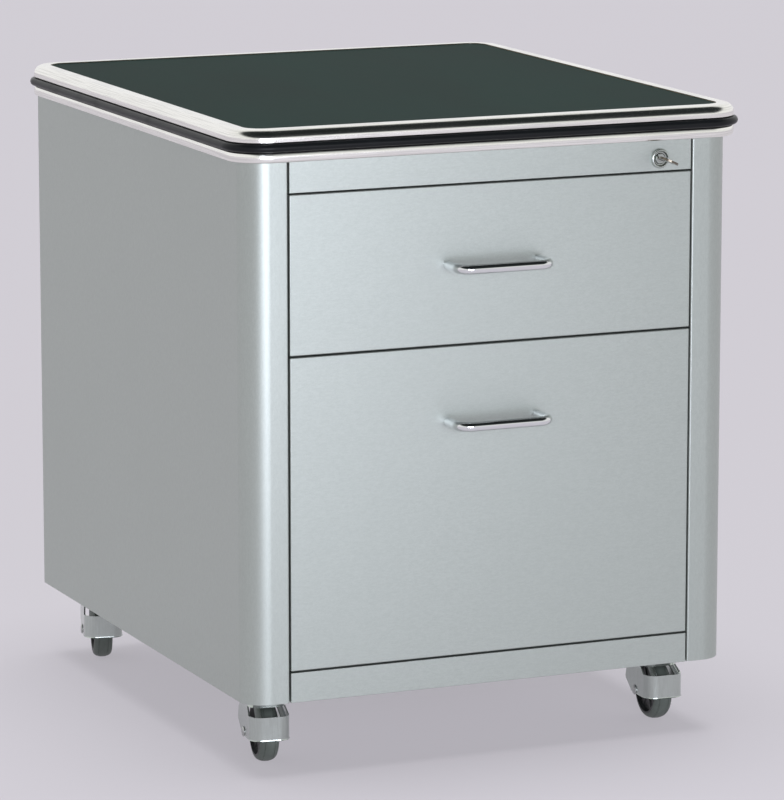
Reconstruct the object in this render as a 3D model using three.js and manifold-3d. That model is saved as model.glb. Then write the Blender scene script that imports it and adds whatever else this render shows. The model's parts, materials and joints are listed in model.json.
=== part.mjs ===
// A two-drawer steel pedestal cabinet on swivel casters: a box drawer over a file drawer.
// Millimetres, +Z up, +X to the right, +Y to the back. The origin is on the floor under the middle.
import * as THREE from 'three';
import { mergeVertices } from 'three/addons/utils/BufferGeometryUtils.js';
import Module from 'manifold-3d';

// ---- Driving sizes of the case
const CASE_WIDTH = 508;
const CASE_DEPTH = 584;
const BASE_RAIL_HEIGHT = 30;
const LOWER_PITCH = 304.8;
const UPPER_PITCH = 155;
const LOCK_RAIL_HEIGHT = 31;
const STILE_WIDTH = 42.5;
const CORNER_RADIUS = 25;
const CASE_SHEET = 1.5;
const STILE_RETURN = 20;
const BACK_FLANGE = 15;
const PAN_FLANGE = 20;
const DECK_FLANGE = 12;
const REVEAL = 1.6;
const GAP = 0.3;

// ---- Worktop and its edge
const TRIM_HEIGHT = 31;
const BEAD_REACH = 10.5;
const BUMPER_REACH = 14.4;
const LIP_COVER = 7;
const LIP_THICKNESS = 0.7;
const LOWER_BEAD_HEIGHT = 10;
const BUMPER_HEIGHT = 8.5;
const BUMPER_SEAT = 5.5;
const MOULDING_BACK = 1.2;
const TOP_SHEET = 2;
const BUMPER_NOSE = 3;

// ---- Drawers
const FRONT_DEPTH = 17.5;
const DRAWER_SHEET = 1.2;
const LINER_FLANGE = 8;
const TRAY_FLOOR_LIFT = 14;
const TRAY_BACK_CLEARANCE = 30;
const UPPER_TRAY_DROP = 30;
const LOWER_TRAY_DROP = 45;
const FILE_RAIL_THICKNESS = 3;
const FILE_RAIL_HEIGHT = 20;
const FILE_RAIL_RISE = 8;

// ---- Drawer slides
const SLIDE_START = 24;
const SLIDE_BACK_CLEARANCE = 34;
const SLIDE_THICKNESS = 12.7;
const SLIDE_HEIGHT = 45;
const SLIDE_SHEET = 1.2;
const SLIDE_BALL_SPACE = 2;
const SLIDE_WEB_GAP = 0.4;
const SLIDE_LIP = 1.5;
const MIDDLE_SET_BACK = 3;
const UPPER_SLIDE_DROP = 66;
const LOWER_SLIDE_DROP = 135.8;

// ---- Slide uprights
const UPRIGHT_DEPTH = 36;
const UPRIGHT_START = 60;
const UPRIGHT_END_CLEARANCE = 70;

// ---- Handles
const HANDLE_CENTRES = 96;
const HANDLE_ROD = 8;
const HANDLE_PROJECTION = 33;
const HANDLE_BEND = 12;
const LOWER_HANDLE_DROP = 74;

// ---- Lock
const LOCK_INSET = 35.7;
const LOCK_DROP = 2.5;
const BARREL_FACE = 19;
const BARREL_BODY = 16;
const BARREL_BORE = 10.8;
const BARREL_FLANGE = 3;
const BARREL_LENGTH = 25;
const BARREL_CHAMFER = 1;
const PLUG_DIAMETER = 10;
const KEY_THICKNESS = 2;
const KEY_BLADE = 7;
const KEY_INSERTION = 18;
const KEY_BOW = 20;
const KEY_REACH = 26;
const KEY_HOLE = 4;
const KEY_REST_TILT = 12;
const CAM_THROW = 8;
const CAM_THICKNESS = 2;
const CAM_PIN = 5;
const CAM_PIN_PLAY = 2.2;
const CAM_HUB = 6.5;
const CAM_PIN_WALL = 1.5;
const CAM_PIN_STAND = 2;
const PLUG_OVERHANG = 1.7;
const LOCK_BAR_GAP = 0.6;
const LOCK_BAR_SHEET = 1.5;
const LOCK_BAR_WIDTH = 14;
const LOCK_BAR_OFFSET = 10.5;
const LOCK_ARM_HEIGHT = 17;
const LOCK_ARM_END = 6;
const LOCK_TAB_HEIGHT = 10;
const LOCK_TAB_LIFT = 1.5;
const CATCH_DROP = 12;
const CATCH_HEIGHT = 10;
const CATCH_PLAY = 1.5;
const CATCH_LENGTH = 17;
const CATCH_CLEARANCE = 1;
const GUIDE_THICKNESS = 3;
const GUIDE_MARGIN = 5;
const GUIDE_CLEARANCE = 0.4;
const LOWER_GUIDE_RISE = 30;
const UPPER_GUIDE_DROP = 50;

// ---- Casters
const CASTER_INSET_SIDE = 43;
const CASTER_INSET_END = 60;
const CASTER_PLATE = 50;
const CASTER_PLATE_THICKNESS = 2;
const CASTER_SCREW_SPACING = 38;
const CASTER_SCREW_HOLE = 5;
const WHEEL_DIAMETER = 60;
const WHEEL_WIDTH = 19;
const WHEEL_HUB_WIDTH = 24;
const WHEEL_HUB = 16;
const WHEEL_WEB_INSET = 2.5;
const TYRE_THICKNESS = 6;
const TYRE_SHOULDER = [2.5, 1.4, 0.8, 4];
const WHEEL_TRAIL = 14;
const AXLE_DIAMETER = 6;
const AXLE_HEAD = 10;
const AXLE_HEAD_THICKNESS = 1.8;
const AXLE_HEAD_EDGE = 0.8;
const KINGPIN_DIAMETER = 8;
const KINGPIN_HEAD = 12;
const KINGPIN_HEAD_THICKNESS = 3;
const RACE_DIAMETER = 28;
const RACE_HEIGHT = 5.4;
const RACE_TAPER = 2;
const RACE_SINK = 0.5;
const WHEEL_TOP_CLEARANCE = 4;
const FORK_WIDTH = 34;
const FORK_SHEET = 1.5;
const FORK_CROWN_SHEET = 2;
const FORK_FRONT_GAP = 3;
const FORK_CORNER = 9;
const FORK_SKIRT_LIFT = 27;
const FORK_SKIRT_HEIGHT = 29;
const FORK_STRAP = 12;
const FORK_REAR = 24;
const FORK_REAR_BASE = 46;
const FORK_CROWN_FRONT = 11;
const FORK_CROWN_REAR = 14;
const FORK_BOSS = 7;
const FORK_BOSS_FOOT = 12;
const FORK_LAP = 0.5;
const FORK_REST_TURNS = { front_left: -9, front_right: -4, rear_left: -15, rear_right: 6 };
const RUNNING_CLEARANCE = 0.3;

// ---- Sizes worked out from the ones above
const crownBase = WHEEL_DIAMETER + WHEEL_TOP_CLEARANCE;
const crownTop = crownBase + FORK_CROWN_SHEET;
const plateBase = crownTop + RUNNING_CLEARANCE + RACE_HEIGHT;
const plateTop = plateBase + CASTER_PLATE_THICKNESS;
const casterHeight = plateTop + GAP;
const halfWidth = CASE_WIDTH / 2;
const openHalf = halfWidth - STILE_WIDTH;
const lowerBase = casterHeight + BASE_RAIL_HEIGHT;
const upperBase = lowerBase + LOWER_PITCH;
const railBase = upperBase + UPPER_PITCH;
const caseTop = railBase + LOCK_RAIL_HEIGHT;
const handleReach = HANDLE_PROJECTION + HANDLE_ROD / 2;
const frontY = (handleReach - CASE_DEPTH - BUMPER_REACH) / 2;
const innerHalf = halfWidth - CASE_SHEET - GAP;
const railHalf = openHalf - REVEAL;
const railDepth = CORNER_RADIUS;
const slideWebReach = SLIDE_THICKNESS - SLIDE_SHEET - SLIDE_WEB_GAP;
const trayHalf = openHalf - GAP - slideWebReach - SLIDE_WEB_GAP;
const trayStart = FRONT_DEPTH + GAP;
const trayEnd = CASE_DEPTH - CASE_SHEET - TRAY_BACK_CLEARANCE;
const slideInner = trayHalf + GAP;
const slideOuter = slideInner + SLIDE_THICKNESS;
const slideEnd = CASE_DEPTH - CASE_SHEET - SLIDE_BACK_CLEARANCE;
const uprightInner = slideOuter + GAP;
const lockX = openHalf - LOCK_INSET;
const lockZ = railBase + LOCK_RAIL_HEIGHT / 2 - LOCK_DROP;
const plugEnd = Math.max(BARREL_LENGTH, railDepth) + PLUG_OVERHANG;
const camY = plugEnd + GAP;
const lockBarY = camY + CAM_THICKNESS + LOCK_BAR_GAP;
const lockBarX = openHalf + LOCK_BAR_OFFSET;

// ---- Finishes
const finish = (color, roughness, metalness) =>
  () => new THREE.MeshStandardMaterial({ color, roughness, metalness });
const brushedSteel = finish(0xb9bfc0, 0.35, 0.9);
const plainSteel = finish(0x9ea3a5, 0.5, 0.8);
const zincSteel = finish(0xaeb2b0, 0.45, 0.85);
const chrome = finish(0xdfe2e4, 0.12, 1);
const polishedTrim = finish(0xe4e4de, 0.15, 1);
const blackVinyl = finish(0x14171a, 0.35, 0);
const darkLinoleum = finish(0x30413c, 0.45, 0);
const boardCore = finish(0xa88a62, 0.8, 0);
const blackPlastic = finish(0x121314, 0.4, 0);
const greyTyre = finish(0x4a4f4a, 0.6, 0);

// ---- Solid helpers
const wasm = await Module();
wasm.setup();

function toSolid(geometry) {
  const bare = geometry.clone();
  bare.deleteAttribute('normal');
  bare.deleteAttribute('uv');
  const merged = mergeVertices(bare, 1e-4);
  return new wasm.Manifold(new wasm.Mesh({
    numProp: 3,
    vertProperties: new Float32Array(merged.attributes.position.array),
    triVerts: new Uint32Array(merged.index.array),
  }));
}

function toGeometry(solid) {
  const mesh = solid.getMesh();
  const geometry = new THREE.BufferGeometry();
  geometry.setAttribute('position', new THREE.BufferAttribute(new Float32Array(mesh.vertProperties), 3));
  geometry.setIndex(new THREE.BufferAttribute(new Uint32Array(mesh.triVerts), 1));
  geometry.computeVertexNormals();
  return geometry;
}

function join(...pieces) {
  return toGeometry(pieces.map(toSolid).reduce((whole, piece) => whole.add(piece)));
}

function cut(base, ...tools) {
  return toGeometry(tools.map(toSolid).reduce((whole, tool) => whole.subtract(tool), toSolid(base)));
}

function common(a, b) {
  return toGeometry(toSolid(a).intersect(toSolid(b)));
}

function box(x0, x1, y0, y1, z0, z1) {
  const geometry = new THREE.BoxGeometry(Math.abs(x1 - x0), y1 - y0, z1 - z0);
  return geometry.translate((x0 + x1) / 2, (y0 + y1) / 2, (z0 + z1) / 2);
}

function outline(points) {
  return new THREE.Shape(points.map(([x, y]) => new THREE.Vector2(x, y)));
}

// An outline in X and Y, raised along Z.
function raised(points, z0, z1) {
  const geometry = new THREE.ExtrudeGeometry(outline(points), { depth: z1 - z0, bevelEnabled: false });
  return geometry.translate(0, 0, z0);
}

// An outline in X and Z, drawn out along Y.
function alongY(shape, y0, y1, curveSegments = 8) {
  const settings = { depth: y1 - y0, bevelEnabled: false, curveSegments };
  return new THREE.ExtrudeGeometry(shape, settings).rotateX(Math.PI / 2).translate(0, y1, 0);
}

// An outline in Y and Z, drawn out along X.
function alongX(points, x0, x1) {
  const geometry = new THREE.ExtrudeGeometry(outline(points), { depth: x1 - x0, bevelEnabled: false });
  return geometry.rotateX(Math.PI / 2).rotateZ(Math.PI / 2).translate(x0, 0, 0);
}

function rod(radius, length, segments = 24) {
  return new THREE.CylinderGeometry(radius, radius, length, segments);
}

function arc(cx, cy, radius, from, to, steps) {
  return Array.from({ length: steps + 1 }, (_, i) => {
    const angle = THREE.MathUtils.degToRad(from + (to - from) * i / steps);
    return [cx + radius * Math.cos(angle), cy + radius * Math.sin(angle)];
  });
}

// A round piece turned about Z from half its section, given as [radius, height] pairs.
function turned(section, segments) {
  const points = section.map(([r, z]) => new THREE.Vector2(r, z));
  return new THREE.LatheGeometry(points, segments).rotateX(Math.PI / 2);
}

// A section of [outward, height] points carried round a rounded rectangle, closed on itself.
function carriedRound(section, halfX, halfY, radius, cornerSteps) {
  const stations = [[1, 1], [-1, 1], [-1, -1], [1, -1]].flatMap(([sx, sy], corner) =>
    arc(0, 0, 1, corner * 90, corner * 90 + 90, cornerSteps).map(([nx, ny]) => ({
      x: sx * (halfX - radius), y: sy * (halfY - radius), nx, ny,
    })));
  const positions = stations.flatMap(({ x, y, nx, ny }) =>
    section.flatMap(([out, z]) => [x + nx * (radius + out), y + ny * (radius + out), z]));
  const index = [];
  const count = section.length;
  stations.forEach((_, i) => {
    const here = i * count;
    const next = ((i + 1) % stations.length) * count;
    for (let j = 0; j < count; j += 1) {
      const k = (j + 1) % count;
      index.push(here + j, next + j, next + k, here + j, next + k, here + k);
    }
  });
  const geometry = new THREE.BufferGeometry();
  geometry.setAttribute('position', new THREE.Float32BufferAttribute(positions, 3));
  geometry.setIndex(index);
  geometry.computeVertexNormals();
  return geometry;
}

// A shallow folded pan: a face with four walls, open on the far side in +Y, or in -Y if facing back.
function foldedPan(half, z0, z1, y0, y1, sheet, openBack) {
  const inner = box(
    -half + sheet, half - sheet,
    openBack ? y0 + sheet : y0 - 1, openBack ? y1 + 1 : y1 - sheet,
    z0 + sheet, z1 - sheet,
  );
  return cut(box(-half, half, y0, y1, z0, z1), inner);
}

// ---- Scene graph helpers
const cabinet = new THREE.Group();
cabinet.position.y = frontY;

function add(parent, name, geometry, material) {
  const mesh = new THREE.Mesh(geometry, material());
  mesh.name = name;
  parent.add(mesh);
  return mesh;
}

function subGroup(parent, x = 0, y = 0, z = 0) {
  const group = new THREE.Group();
  group.position.set(x, y, z);
  parent.add(group);
  return group;
}

const sides = { left: -1, right: 1 };

// ---- Case
// One bent sheet: flat side, rounded front corner, stile, and the stile's return into the case.
function sidePanel(side) {
  const corner = halfWidth - CORNER_RADIUS;
  const section = [
    [halfWidth, CASE_DEPTH],
    ...arc(corner, CORNER_RADIUS, CORNER_RADIUS, 0, -90, 10),
    [openHalf, 0],
    [openHalf, STILE_RETURN],
    [openHalf + CASE_SHEET, STILE_RETURN],
    [openHalf + CASE_SHEET, CASE_SHEET],
    ...arc(corner, CORNER_RADIUS, CORNER_RADIUS - CASE_SHEET, -90, 0, 10),
    [halfWidth - CASE_SHEET, CASE_DEPTH],
  ];
  return raised(section.map(([x, y]) => [side * x, y]), casterHeight, caseTop);
}

function backPanel() {
  const sheet = box(-innerHalf, innerHalf, CASE_DEPTH - CASE_SHEET, CASE_DEPTH, casterHeight, caseTop);
  const flangeBase = casterHeight + PAN_FLANGE + REVEAL;
  const flangeTop = caseTop - DECK_FLANGE - REVEAL;
  const flanges = Object.values(sides).map((side) => box(
    side > 0 ? innerHalf - CASE_SHEET : -innerHalf, side > 0 ? innerHalf : -innerHalf + CASE_SHEET,
    CASE_DEPTH - BACK_FLANGE, CASE_DEPTH - CASE_SHEET / 2, flangeBase, flangeTop,
  ));
  return join(sheet, ...flanges);
}

function bottomPan() {
  const y0 = railDepth + GAP;
  const y1 = CASE_DEPTH - CASE_SHEET - GAP;
  const z0 = casterHeight;
  const z1 = z0 + PAN_FLANGE;
  return alongX([
    [y0, z0], [y1, z0], [y1, z1], [y1 - CASE_SHEET, z1], [y1 - CASE_SHEET, z0 + CASE_SHEET],
    [y0 + CASE_SHEET, z0 + CASE_SHEET], [y0 + CASE_SHEET, z1], [y0, z1],
  ], -innerHalf, innerHalf);
}

function topDeck() {
  const y0 = railDepth + GAP;
  const y1 = CASE_DEPTH - CASE_SHEET - GAP;
  const z1 = caseTop - GAP;
  const z0 = z1 - CASE_SHEET;
  return alongX([
    [y0, z0], [y1 - CASE_SHEET, z0], [y1 - CASE_SHEET, z1 - DECK_FLANGE], [y1, z1 - DECK_FLANGE],
    [y1, z1], [y0, z1],
  ], -innerHalf, innerHalf);
}

// A rail between the stiles, with ears that hold it behind the stiles' returns.
function crossRail(z0, z1, ...holes) {
  const pan = foldedPan(railHalf, z0, z1, 0, railDepth, CASE_SHEET, true);
  const earStart = STILE_RETURN + GAP;
  const earReach = openHalf + CASE_SHEET + GAP;
  const ears = Object.values(sides).map((side) => {
    const near = side * (railHalf - CASE_SHEET / 2);
    const far = side * earReach;
    return box(Math.min(near, far), Math.max(near, far), earStart, railDepth, z0, z1);
  });
  return cut(join(pan, ...ears), ...holes);
}

function slideUpright(side, y0, ...lugs) {
  const y1 = y0 + UPRIGHT_DEPTH;
  const x0 = uprightInner;
  const section = [
    [x0, y0], [innerHalf, y0], [innerHalf, y0 + CASE_SHEET], [x0 + CASE_SHEET, y0 + CASE_SHEET],
    [x0 + CASE_SHEET, y1 - CASE_SHEET], [innerHalf, y1 - CASE_SHEET], [innerHalf, y1], [x0, y1],
  ];
  const z0 = casterHeight + CASE_SHEET + GAP;
  const z1 = caseTop - GAP - CASE_SHEET - GAP;
  const channel = raised(section.map(([x, y]) => [side * x, y]), z0, z1);
  return lugs.length ? join(channel, ...lugs) : channel;
}

const lowerTrayTop = upperBase - LOWER_TRAY_DROP;
const upperTrayTop = railBase - UPPER_TRAY_DROP;

// A lug on the front right upright that the lock bar slides through.
function barGuide(z) {
  const near = lockBarX - GUIDE_MARGIN;
  const far = lockBarX + LOCK_BAR_WIDTH + GUIDE_MARGIN;
  const front = lockBarY - GUIDE_MARGIN / 2;
  const back = UPRIGHT_START + CASE_SHEET / 2;
  return cut(
    box(near, far, front, back, z, z + GUIDE_THICKNESS),
    box(
      lockBarX - GUIDE_CLEARANCE, lockBarX + LOCK_BAR_WIDTH + GUIDE_CLEARANCE,
      lockBarY - GUIDE_CLEARANCE, lockBarY + LOCK_BAR_SHEET + GUIDE_CLEARANCE,
      z - 1, z + GUIDE_THICKNESS + 1,
    ),
  );
}

for (const [name, side] of Object.entries(sides)) {
  add(cabinet, `${name}_side_panel`, sidePanel(side), brushedSteel);
}
add(cabinet, 'back_panel', backPanel(), brushedSteel);
add(cabinet, 'bottom_pan', bottomPan(), plainSteel);
add(cabinet, 'top_deck', topDeck(), plainSteel);

const lockHole = rod((BARREL_BODY + 2 * RUNNING_CLEARANCE) / 2, CASE_SHEET * 4)
  .translate(lockX, 0, lockZ);
add(cabinet, 'lock_rail', crossRail(railBase + REVEAL / 2, caseTop - GAP, lockHole), brushedSteel);
add(cabinet, 'base_rail', crossRail(casterHeight, lowerBase - REVEAL / 2), brushedSteel);

const rearUprightStart = CASE_DEPTH - UPRIGHT_END_CLEARANCE - UPRIGHT_DEPTH;
const guideHeights = [lowerTrayTop + LOWER_GUIDE_RISE, upperTrayTop - UPPER_GUIDE_DROP];
for (const [name, side] of Object.entries(sides)) {
  const guides = side > 0 ? guideHeights.map(barGuide) : [];
  const front = slideUpright(side, UPRIGHT_START, ...guides);
  add(cabinet, `front_${name}_slide_upright`, front, zincSteel);
  add(cabinet, `rear_${name}_slide_upright`, slideUpright(side, rearUprightStart), zincSteel);
}

// ---- Worktop
const worktop = subGroup(cabinet, 0, CASE_DEPTH / 2, caseTop + GAP);

function roundedSlab(inset, z0, z1) {
  const x = halfWidth - CORNER_RADIUS;
  const y = CASE_DEPTH / 2 - CORNER_RADIUS;
  const radius = CORNER_RADIUS - inset;
  return raised([
    ...arc(x, y, radius, 0, 90, 8),
    ...arc(-x, y, radius, 90, 180, 8),
    ...arc(-x, -y, radius, 180, 270, 8),
    ...arc(x, -y, radius, 270, 360, 8),
  ], z0, z1);
}

const lipUnder = TRIM_HEIGHT - LIP_THICKNESS;
const sheetTop = lipUnder - GAP;
const sheetBase = sheetTop - TOP_SHEET;
const bumperBase = LOWER_BEAD_HEIGHT;
const bumperTop = bumperBase + BUMPER_HEIGHT;

// The edge moulding: lower bead, seat for the bumper, upper bead and the lip over the top sheet.
function mouldingSection() {
  const beadRadius = LOWER_BEAD_HEIGHT / 2;
  const upperRadius = (TRIM_HEIGHT - bumperTop) / 2;
  const upperCentre = BEAD_REACH - upperRadius;
  return [
    [-MOULDING_BACK, 0],
    ...arc(BEAD_REACH - beadRadius, beadRadius, beadRadius, -90, 90, 5),
    [BUMPER_SEAT - MOULDING_BACK, bumperBase],
    [BUMPER_SEAT - MOULDING_BACK, bumperTop],
    ...arc(upperCentre, bumperTop + upperRadius, upperRadius, -90, 60, 5),
    [-LIP_COVER, TRIM_HEIGHT],
    [-LIP_COVER, lipUnder],
    [-MOULDING_BACK, lipUnder],
  ];
}

function bumperSection() {
  const half = BUMPER_HEIGHT / 2 - GAP;
  const nose = BUMPER_REACH - BUMPER_NOSE;
  return [
    [BUMPER_SEAT - MOULDING_BACK + GAP, bumperBase + GAP],
    ...arc(nose, bumperBase + GAP + BUMPER_NOSE, BUMPER_NOSE, -90, 0, 3),
    ...arc(nose, bumperBase + GAP + 2 * half - BUMPER_NOSE, BUMPER_NOSE, 0, 90, 3),
    [BUMPER_SEAT - MOULDING_BACK + GAP, bumperTop - GAP],
  ];
}

const edgeOf = (section) =>
  carriedRound(section, halfWidth, CASE_DEPTH / 2, CORNER_RADIUS, 6);
// The board is routed out to take the sheet, so that the sheet lies inside the lip.
const board = cut(
  roundedSlab(MOULDING_BACK + GAP, 0, sheetTop),
  roundedSlab(LIP_COVER, sheetBase - GAP, TRIM_HEIGHT),
);
add(worktop, 'worktop_board', board, boardCore);
add(worktop, 'worktop_sheet', roundedSlab(LIP_COVER + GAP, sheetBase, sheetTop), darkLinoleum);
add(worktop, 'edge_moulding', edgeOf(mouldingSection()), polishedTrim);
add(worktop, 'edge_bumper', edgeOf(bumperSection()), blackVinyl);

// ---- Slides
// A channel along Y: its web at webX, its lips towards tipX, side being +1 or -1.
function slideChannel(side, webX, tipX, halfHeight, y0, y1) {
  const turn = Math.sign(tipX - webX);
  const inside = webX + turn * SLIDE_SHEET;
  const section = [
    [webX, -halfHeight], [tipX, -halfHeight], [tipX, -halfHeight + SLIDE_SHEET],
    [inside, -halfHeight + SLIDE_SHEET], [inside, halfHeight - SLIDE_SHEET],
    [tipX, halfHeight - SLIDE_SHEET], [tipX, halfHeight], [webX, halfHeight],
  ];
  return alongY(outline(section.map(([x, z]) => [side * x, z])), y0, y1);
}

function addSlides(prefix, z) {
  const outerHalf = SLIDE_HEIGHT / 2;
  const middleHalf = outerHalf - SLIDE_SHEET - SLIDE_BALL_SPACE;
  const innerMemberHalf = middleHalf - SLIDE_SHEET - SLIDE_BALL_SPACE;
  const level = subGroup(cabinet, 0, 0, z);
  for (const [name, side] of Object.entries(sides)) {
    const label = `${prefix}_${name}_slide`;
    const outer = slideChannel(
      side, slideOuter, slideInner + SLIDE_LIP, outerHalf, SLIDE_START, slideEnd);
    const middle = slideChannel(
      side, slideInner + slideWebReach, slideInner + 2 * SLIDE_LIP, middleHalf,
      SLIDE_START + MIDDLE_SET_BACK, slideEnd - MIDDLE_SET_BACK);
    const inner = slideChannel(
      side, slideInner, slideInner + slideWebReach - SLIDE_SHEET - 2 * SLIDE_WEB_GAP,
      innerMemberHalf, SLIDE_START, slideEnd);
    add(level, `${label}_outer`, outer, zincSteel);
    add(level, `${label}_middle`, middle, zincSteel);
    add(level, `${label}_inner`, inner, zincSteel);
  }
}

addSlides('upper', upperTrayTop - UPPER_SLIDE_DROP);
addSlides('lower', lowerTrayTop - LOWER_SLIDE_DROP);

// ---- Drawers
function drawerHandle() {
  const reach = HANDLE_CENTRES / 2;
  const corner = reach - HANDLE_BEND;
  const bend = -HANDLE_PROJECTION + HANDLE_BEND;
  const path = new THREE.CatmullRomCurve3([
    [-reach, -GAP],
    [-reach, (bend - GAP) / 2],
    ...arc(-corner, bend, HANDLE_BEND, 180, 270, 6),
    [0, -HANDLE_PROJECTION],
    ...arc(corner, bend, HANDLE_BEND, 270, 360, 6),
    [reach, (bend - GAP) / 2],
    [reach, -GAP],
  ].map(([x, y]) => new THREE.Vector3(x, y, 0)), false, 'centripetal');
  const round = outline(arc(0, 0, HANDLE_ROD / 2, 0, 324, 9));
  return new THREE.ExtrudeGeometry(round, { steps: 26, extrudePath: path, bevelEnabled: false });
}

// The catch on a tray's right side: a lip that stands behind the lock bar's tab.
function lockCatch(top) {
  const x0 = trayHalf + GAP;
  const x1 = openHalf - CATCH_CLEARANCE;
  const y0 = lockBarY + LOCK_BAR_SHEET + CATCH_PLAY;
  return raised([
    [x0, y0], [x1, y0], [x1, y0 + CASE_SHEET], [x0 + CASE_SHEET, y0 + CASE_SHEET],
    [x0 + CASE_SHEET, y0 + CATCH_LENGTH], [x0, y0 + CATCH_LENGTH],
  ], top - CATCH_HEIGHT, top);
}

function addDrawer(prefix, base, pitch, trayTop, handleZ) {
  const drawer = subGroup(cabinet);
  const z0 = base + REVEAL / 2;
  const z1 = base + pitch - REVEAL / 2;
  const inset = DRAWER_SHEET + GAP;
  const trayFloor = base + TRAY_FLOOR_LIFT;
  const front = foldedPan(railHalf, z0, z1, 0, FRONT_DEPTH, DRAWER_SHEET, true);
  const liner = foldedPan(
    railHalf - inset, z0 + inset, z1 - inset,
    FRONT_DEPTH - LINER_FLANGE, FRONT_DEPTH, DRAWER_SHEET, false);
  const tray = cut(
    box(-trayHalf, trayHalf, trayStart, trayEnd, trayFloor, trayTop),
    box(
      -trayHalf + DRAWER_SHEET, trayHalf - DRAWER_SHEET,
      trayStart + DRAWER_SHEET, trayEnd - DRAWER_SHEET,
      trayFloor + DRAWER_SHEET, trayTop + 1,
    ),
  );
  add(drawer, `${prefix}_drawer_front`, front, brushedSteel);
  add(drawer, `${prefix}_front_liner`, liner, plainSteel);
  add(drawer, `${prefix}_drawer_tray`, tray, plainSteel);
  add(drawer, `${prefix}_lock_catch`, lockCatch(trayTop - CATCH_DROP), zincSteel);
  add(subGroup(drawer, 0, 0, handleZ), `${prefix}_handle`, drawerHandle(), chrome);
  return drawer;
}

addDrawer('upper', upperBase, UPPER_PITCH, upperTrayTop, upperBase + UPPER_PITCH / 2);
const fileDrawer = addDrawer(
  'lower', lowerBase, LOWER_PITCH, lowerTrayTop, upperBase - LOWER_HANDLE_DROP);

for (const [name, side] of Object.entries(sides)) {
  const outer = side * (trayHalf - DRAWER_SHEET - GAP);
  const inner = outer - side * FILE_RAIL_THICKNESS;
  const rail = box(
    Math.min(outer, inner), Math.max(outer, inner),
    trayStart + DRAWER_SHEET + GAP, trayEnd - DRAWER_SHEET - GAP,
    lowerTrayTop + FILE_RAIL_RISE - FILE_RAIL_HEIGHT, lowerTrayTop + FILE_RAIL_RISE,
  );
  add(fileDrawer, `${name}_file_rail`, rail, zincSteel);
}

// ---- Lock
const lock = subGroup(cabinet, lockX, 0, lockZ);

function lockBarrel() {
  const bore = BARREL_BORE / 2;
  return turned([
    [bore, GAP + BARREL_FLANGE], [BARREL_FACE / 2 - BARREL_CHAMFER, GAP + BARREL_FLANGE],
    [BARREL_FACE / 2, GAP + BARREL_FLANGE - BARREL_CHAMFER], [BARREL_FACE / 2, GAP],
    [BARREL_BODY / 2, GAP], [BARREL_BODY / 2, -BARREL_LENGTH], [bore, -BARREL_LENGTH],
    [bore, GAP + BARREL_FLANGE],
  ].reverse(), 20).rotateX(Math.PI / 2);
}

const plugFace = -GAP - BARREL_FLANGE - GAP;

function lockPlug() {
  const body = rod(PLUG_DIAMETER / 2, plugEnd - plugFace).translate(0, (plugEnd + plugFace) / 2, 0);
  const halfSlot = KEY_BLADE / 2 + GAP;
  const slot = box(
    -halfSlot, halfSlot, plugFace - 1, KEY_INSERTION + plugFace + GAP,
    -KEY_THICKNESS / 2 - GAP, KEY_THICKNESS / 2 + GAP,
  );
  return cut(body, slot);
}

// A flat key: a blade in the plug and a round bow with a ring hole.
function flatKey() {
  const bow = KEY_BOW / 2;
  const blade = KEY_BLADE / 2;
  const tip = plugFace + KEY_INSERTION;
  const bowCentre = plugFace - KEY_REACH + bow;
  const meet = THREE.MathUtils.radToDeg(Math.asin(blade / bow));
  const shape = outline([
    [-blade, tip - blade], [0, tip], [blade, tip - blade],
    ...arc(0, bowCentre, bow, 90 - meet, -270 + meet, 18),
  ]);
  const ring = arc(0, bowCentre - bow / 2, KEY_HOLE / 2, 0, 324, 9);
  shape.holes.push(new THREE.Path(ring.map(([x, y]) => new THREE.Vector2(x, y))));
  const settings = { depth: KEY_THICKNESS, bevelEnabled: false };
  return new THREE.ExtrudeGeometry(shape, settings).translate(0, 0, -KEY_THICKNESS / 2);
}

function lockCam() {
  const tip = CAM_PIN / 2 + CAM_PIN_WALL;
  const link = outline([...arc(0, 0, CAM_HUB, 60, 300, 12), ...arc(CAM_THROW, 0, tip, -60, 60, 6)]);
  const pinLength = lockBarY + LOCK_BAR_SHEET + CAM_PIN_STAND - camY;
  const pin = rod(CAM_PIN / 2, pinLength, 16).translate(CAM_THROW, camY + pinLength / 2, 0);
  return join(alongY(link, camY, camY + CAM_THICKNESS), pin);
}

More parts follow.
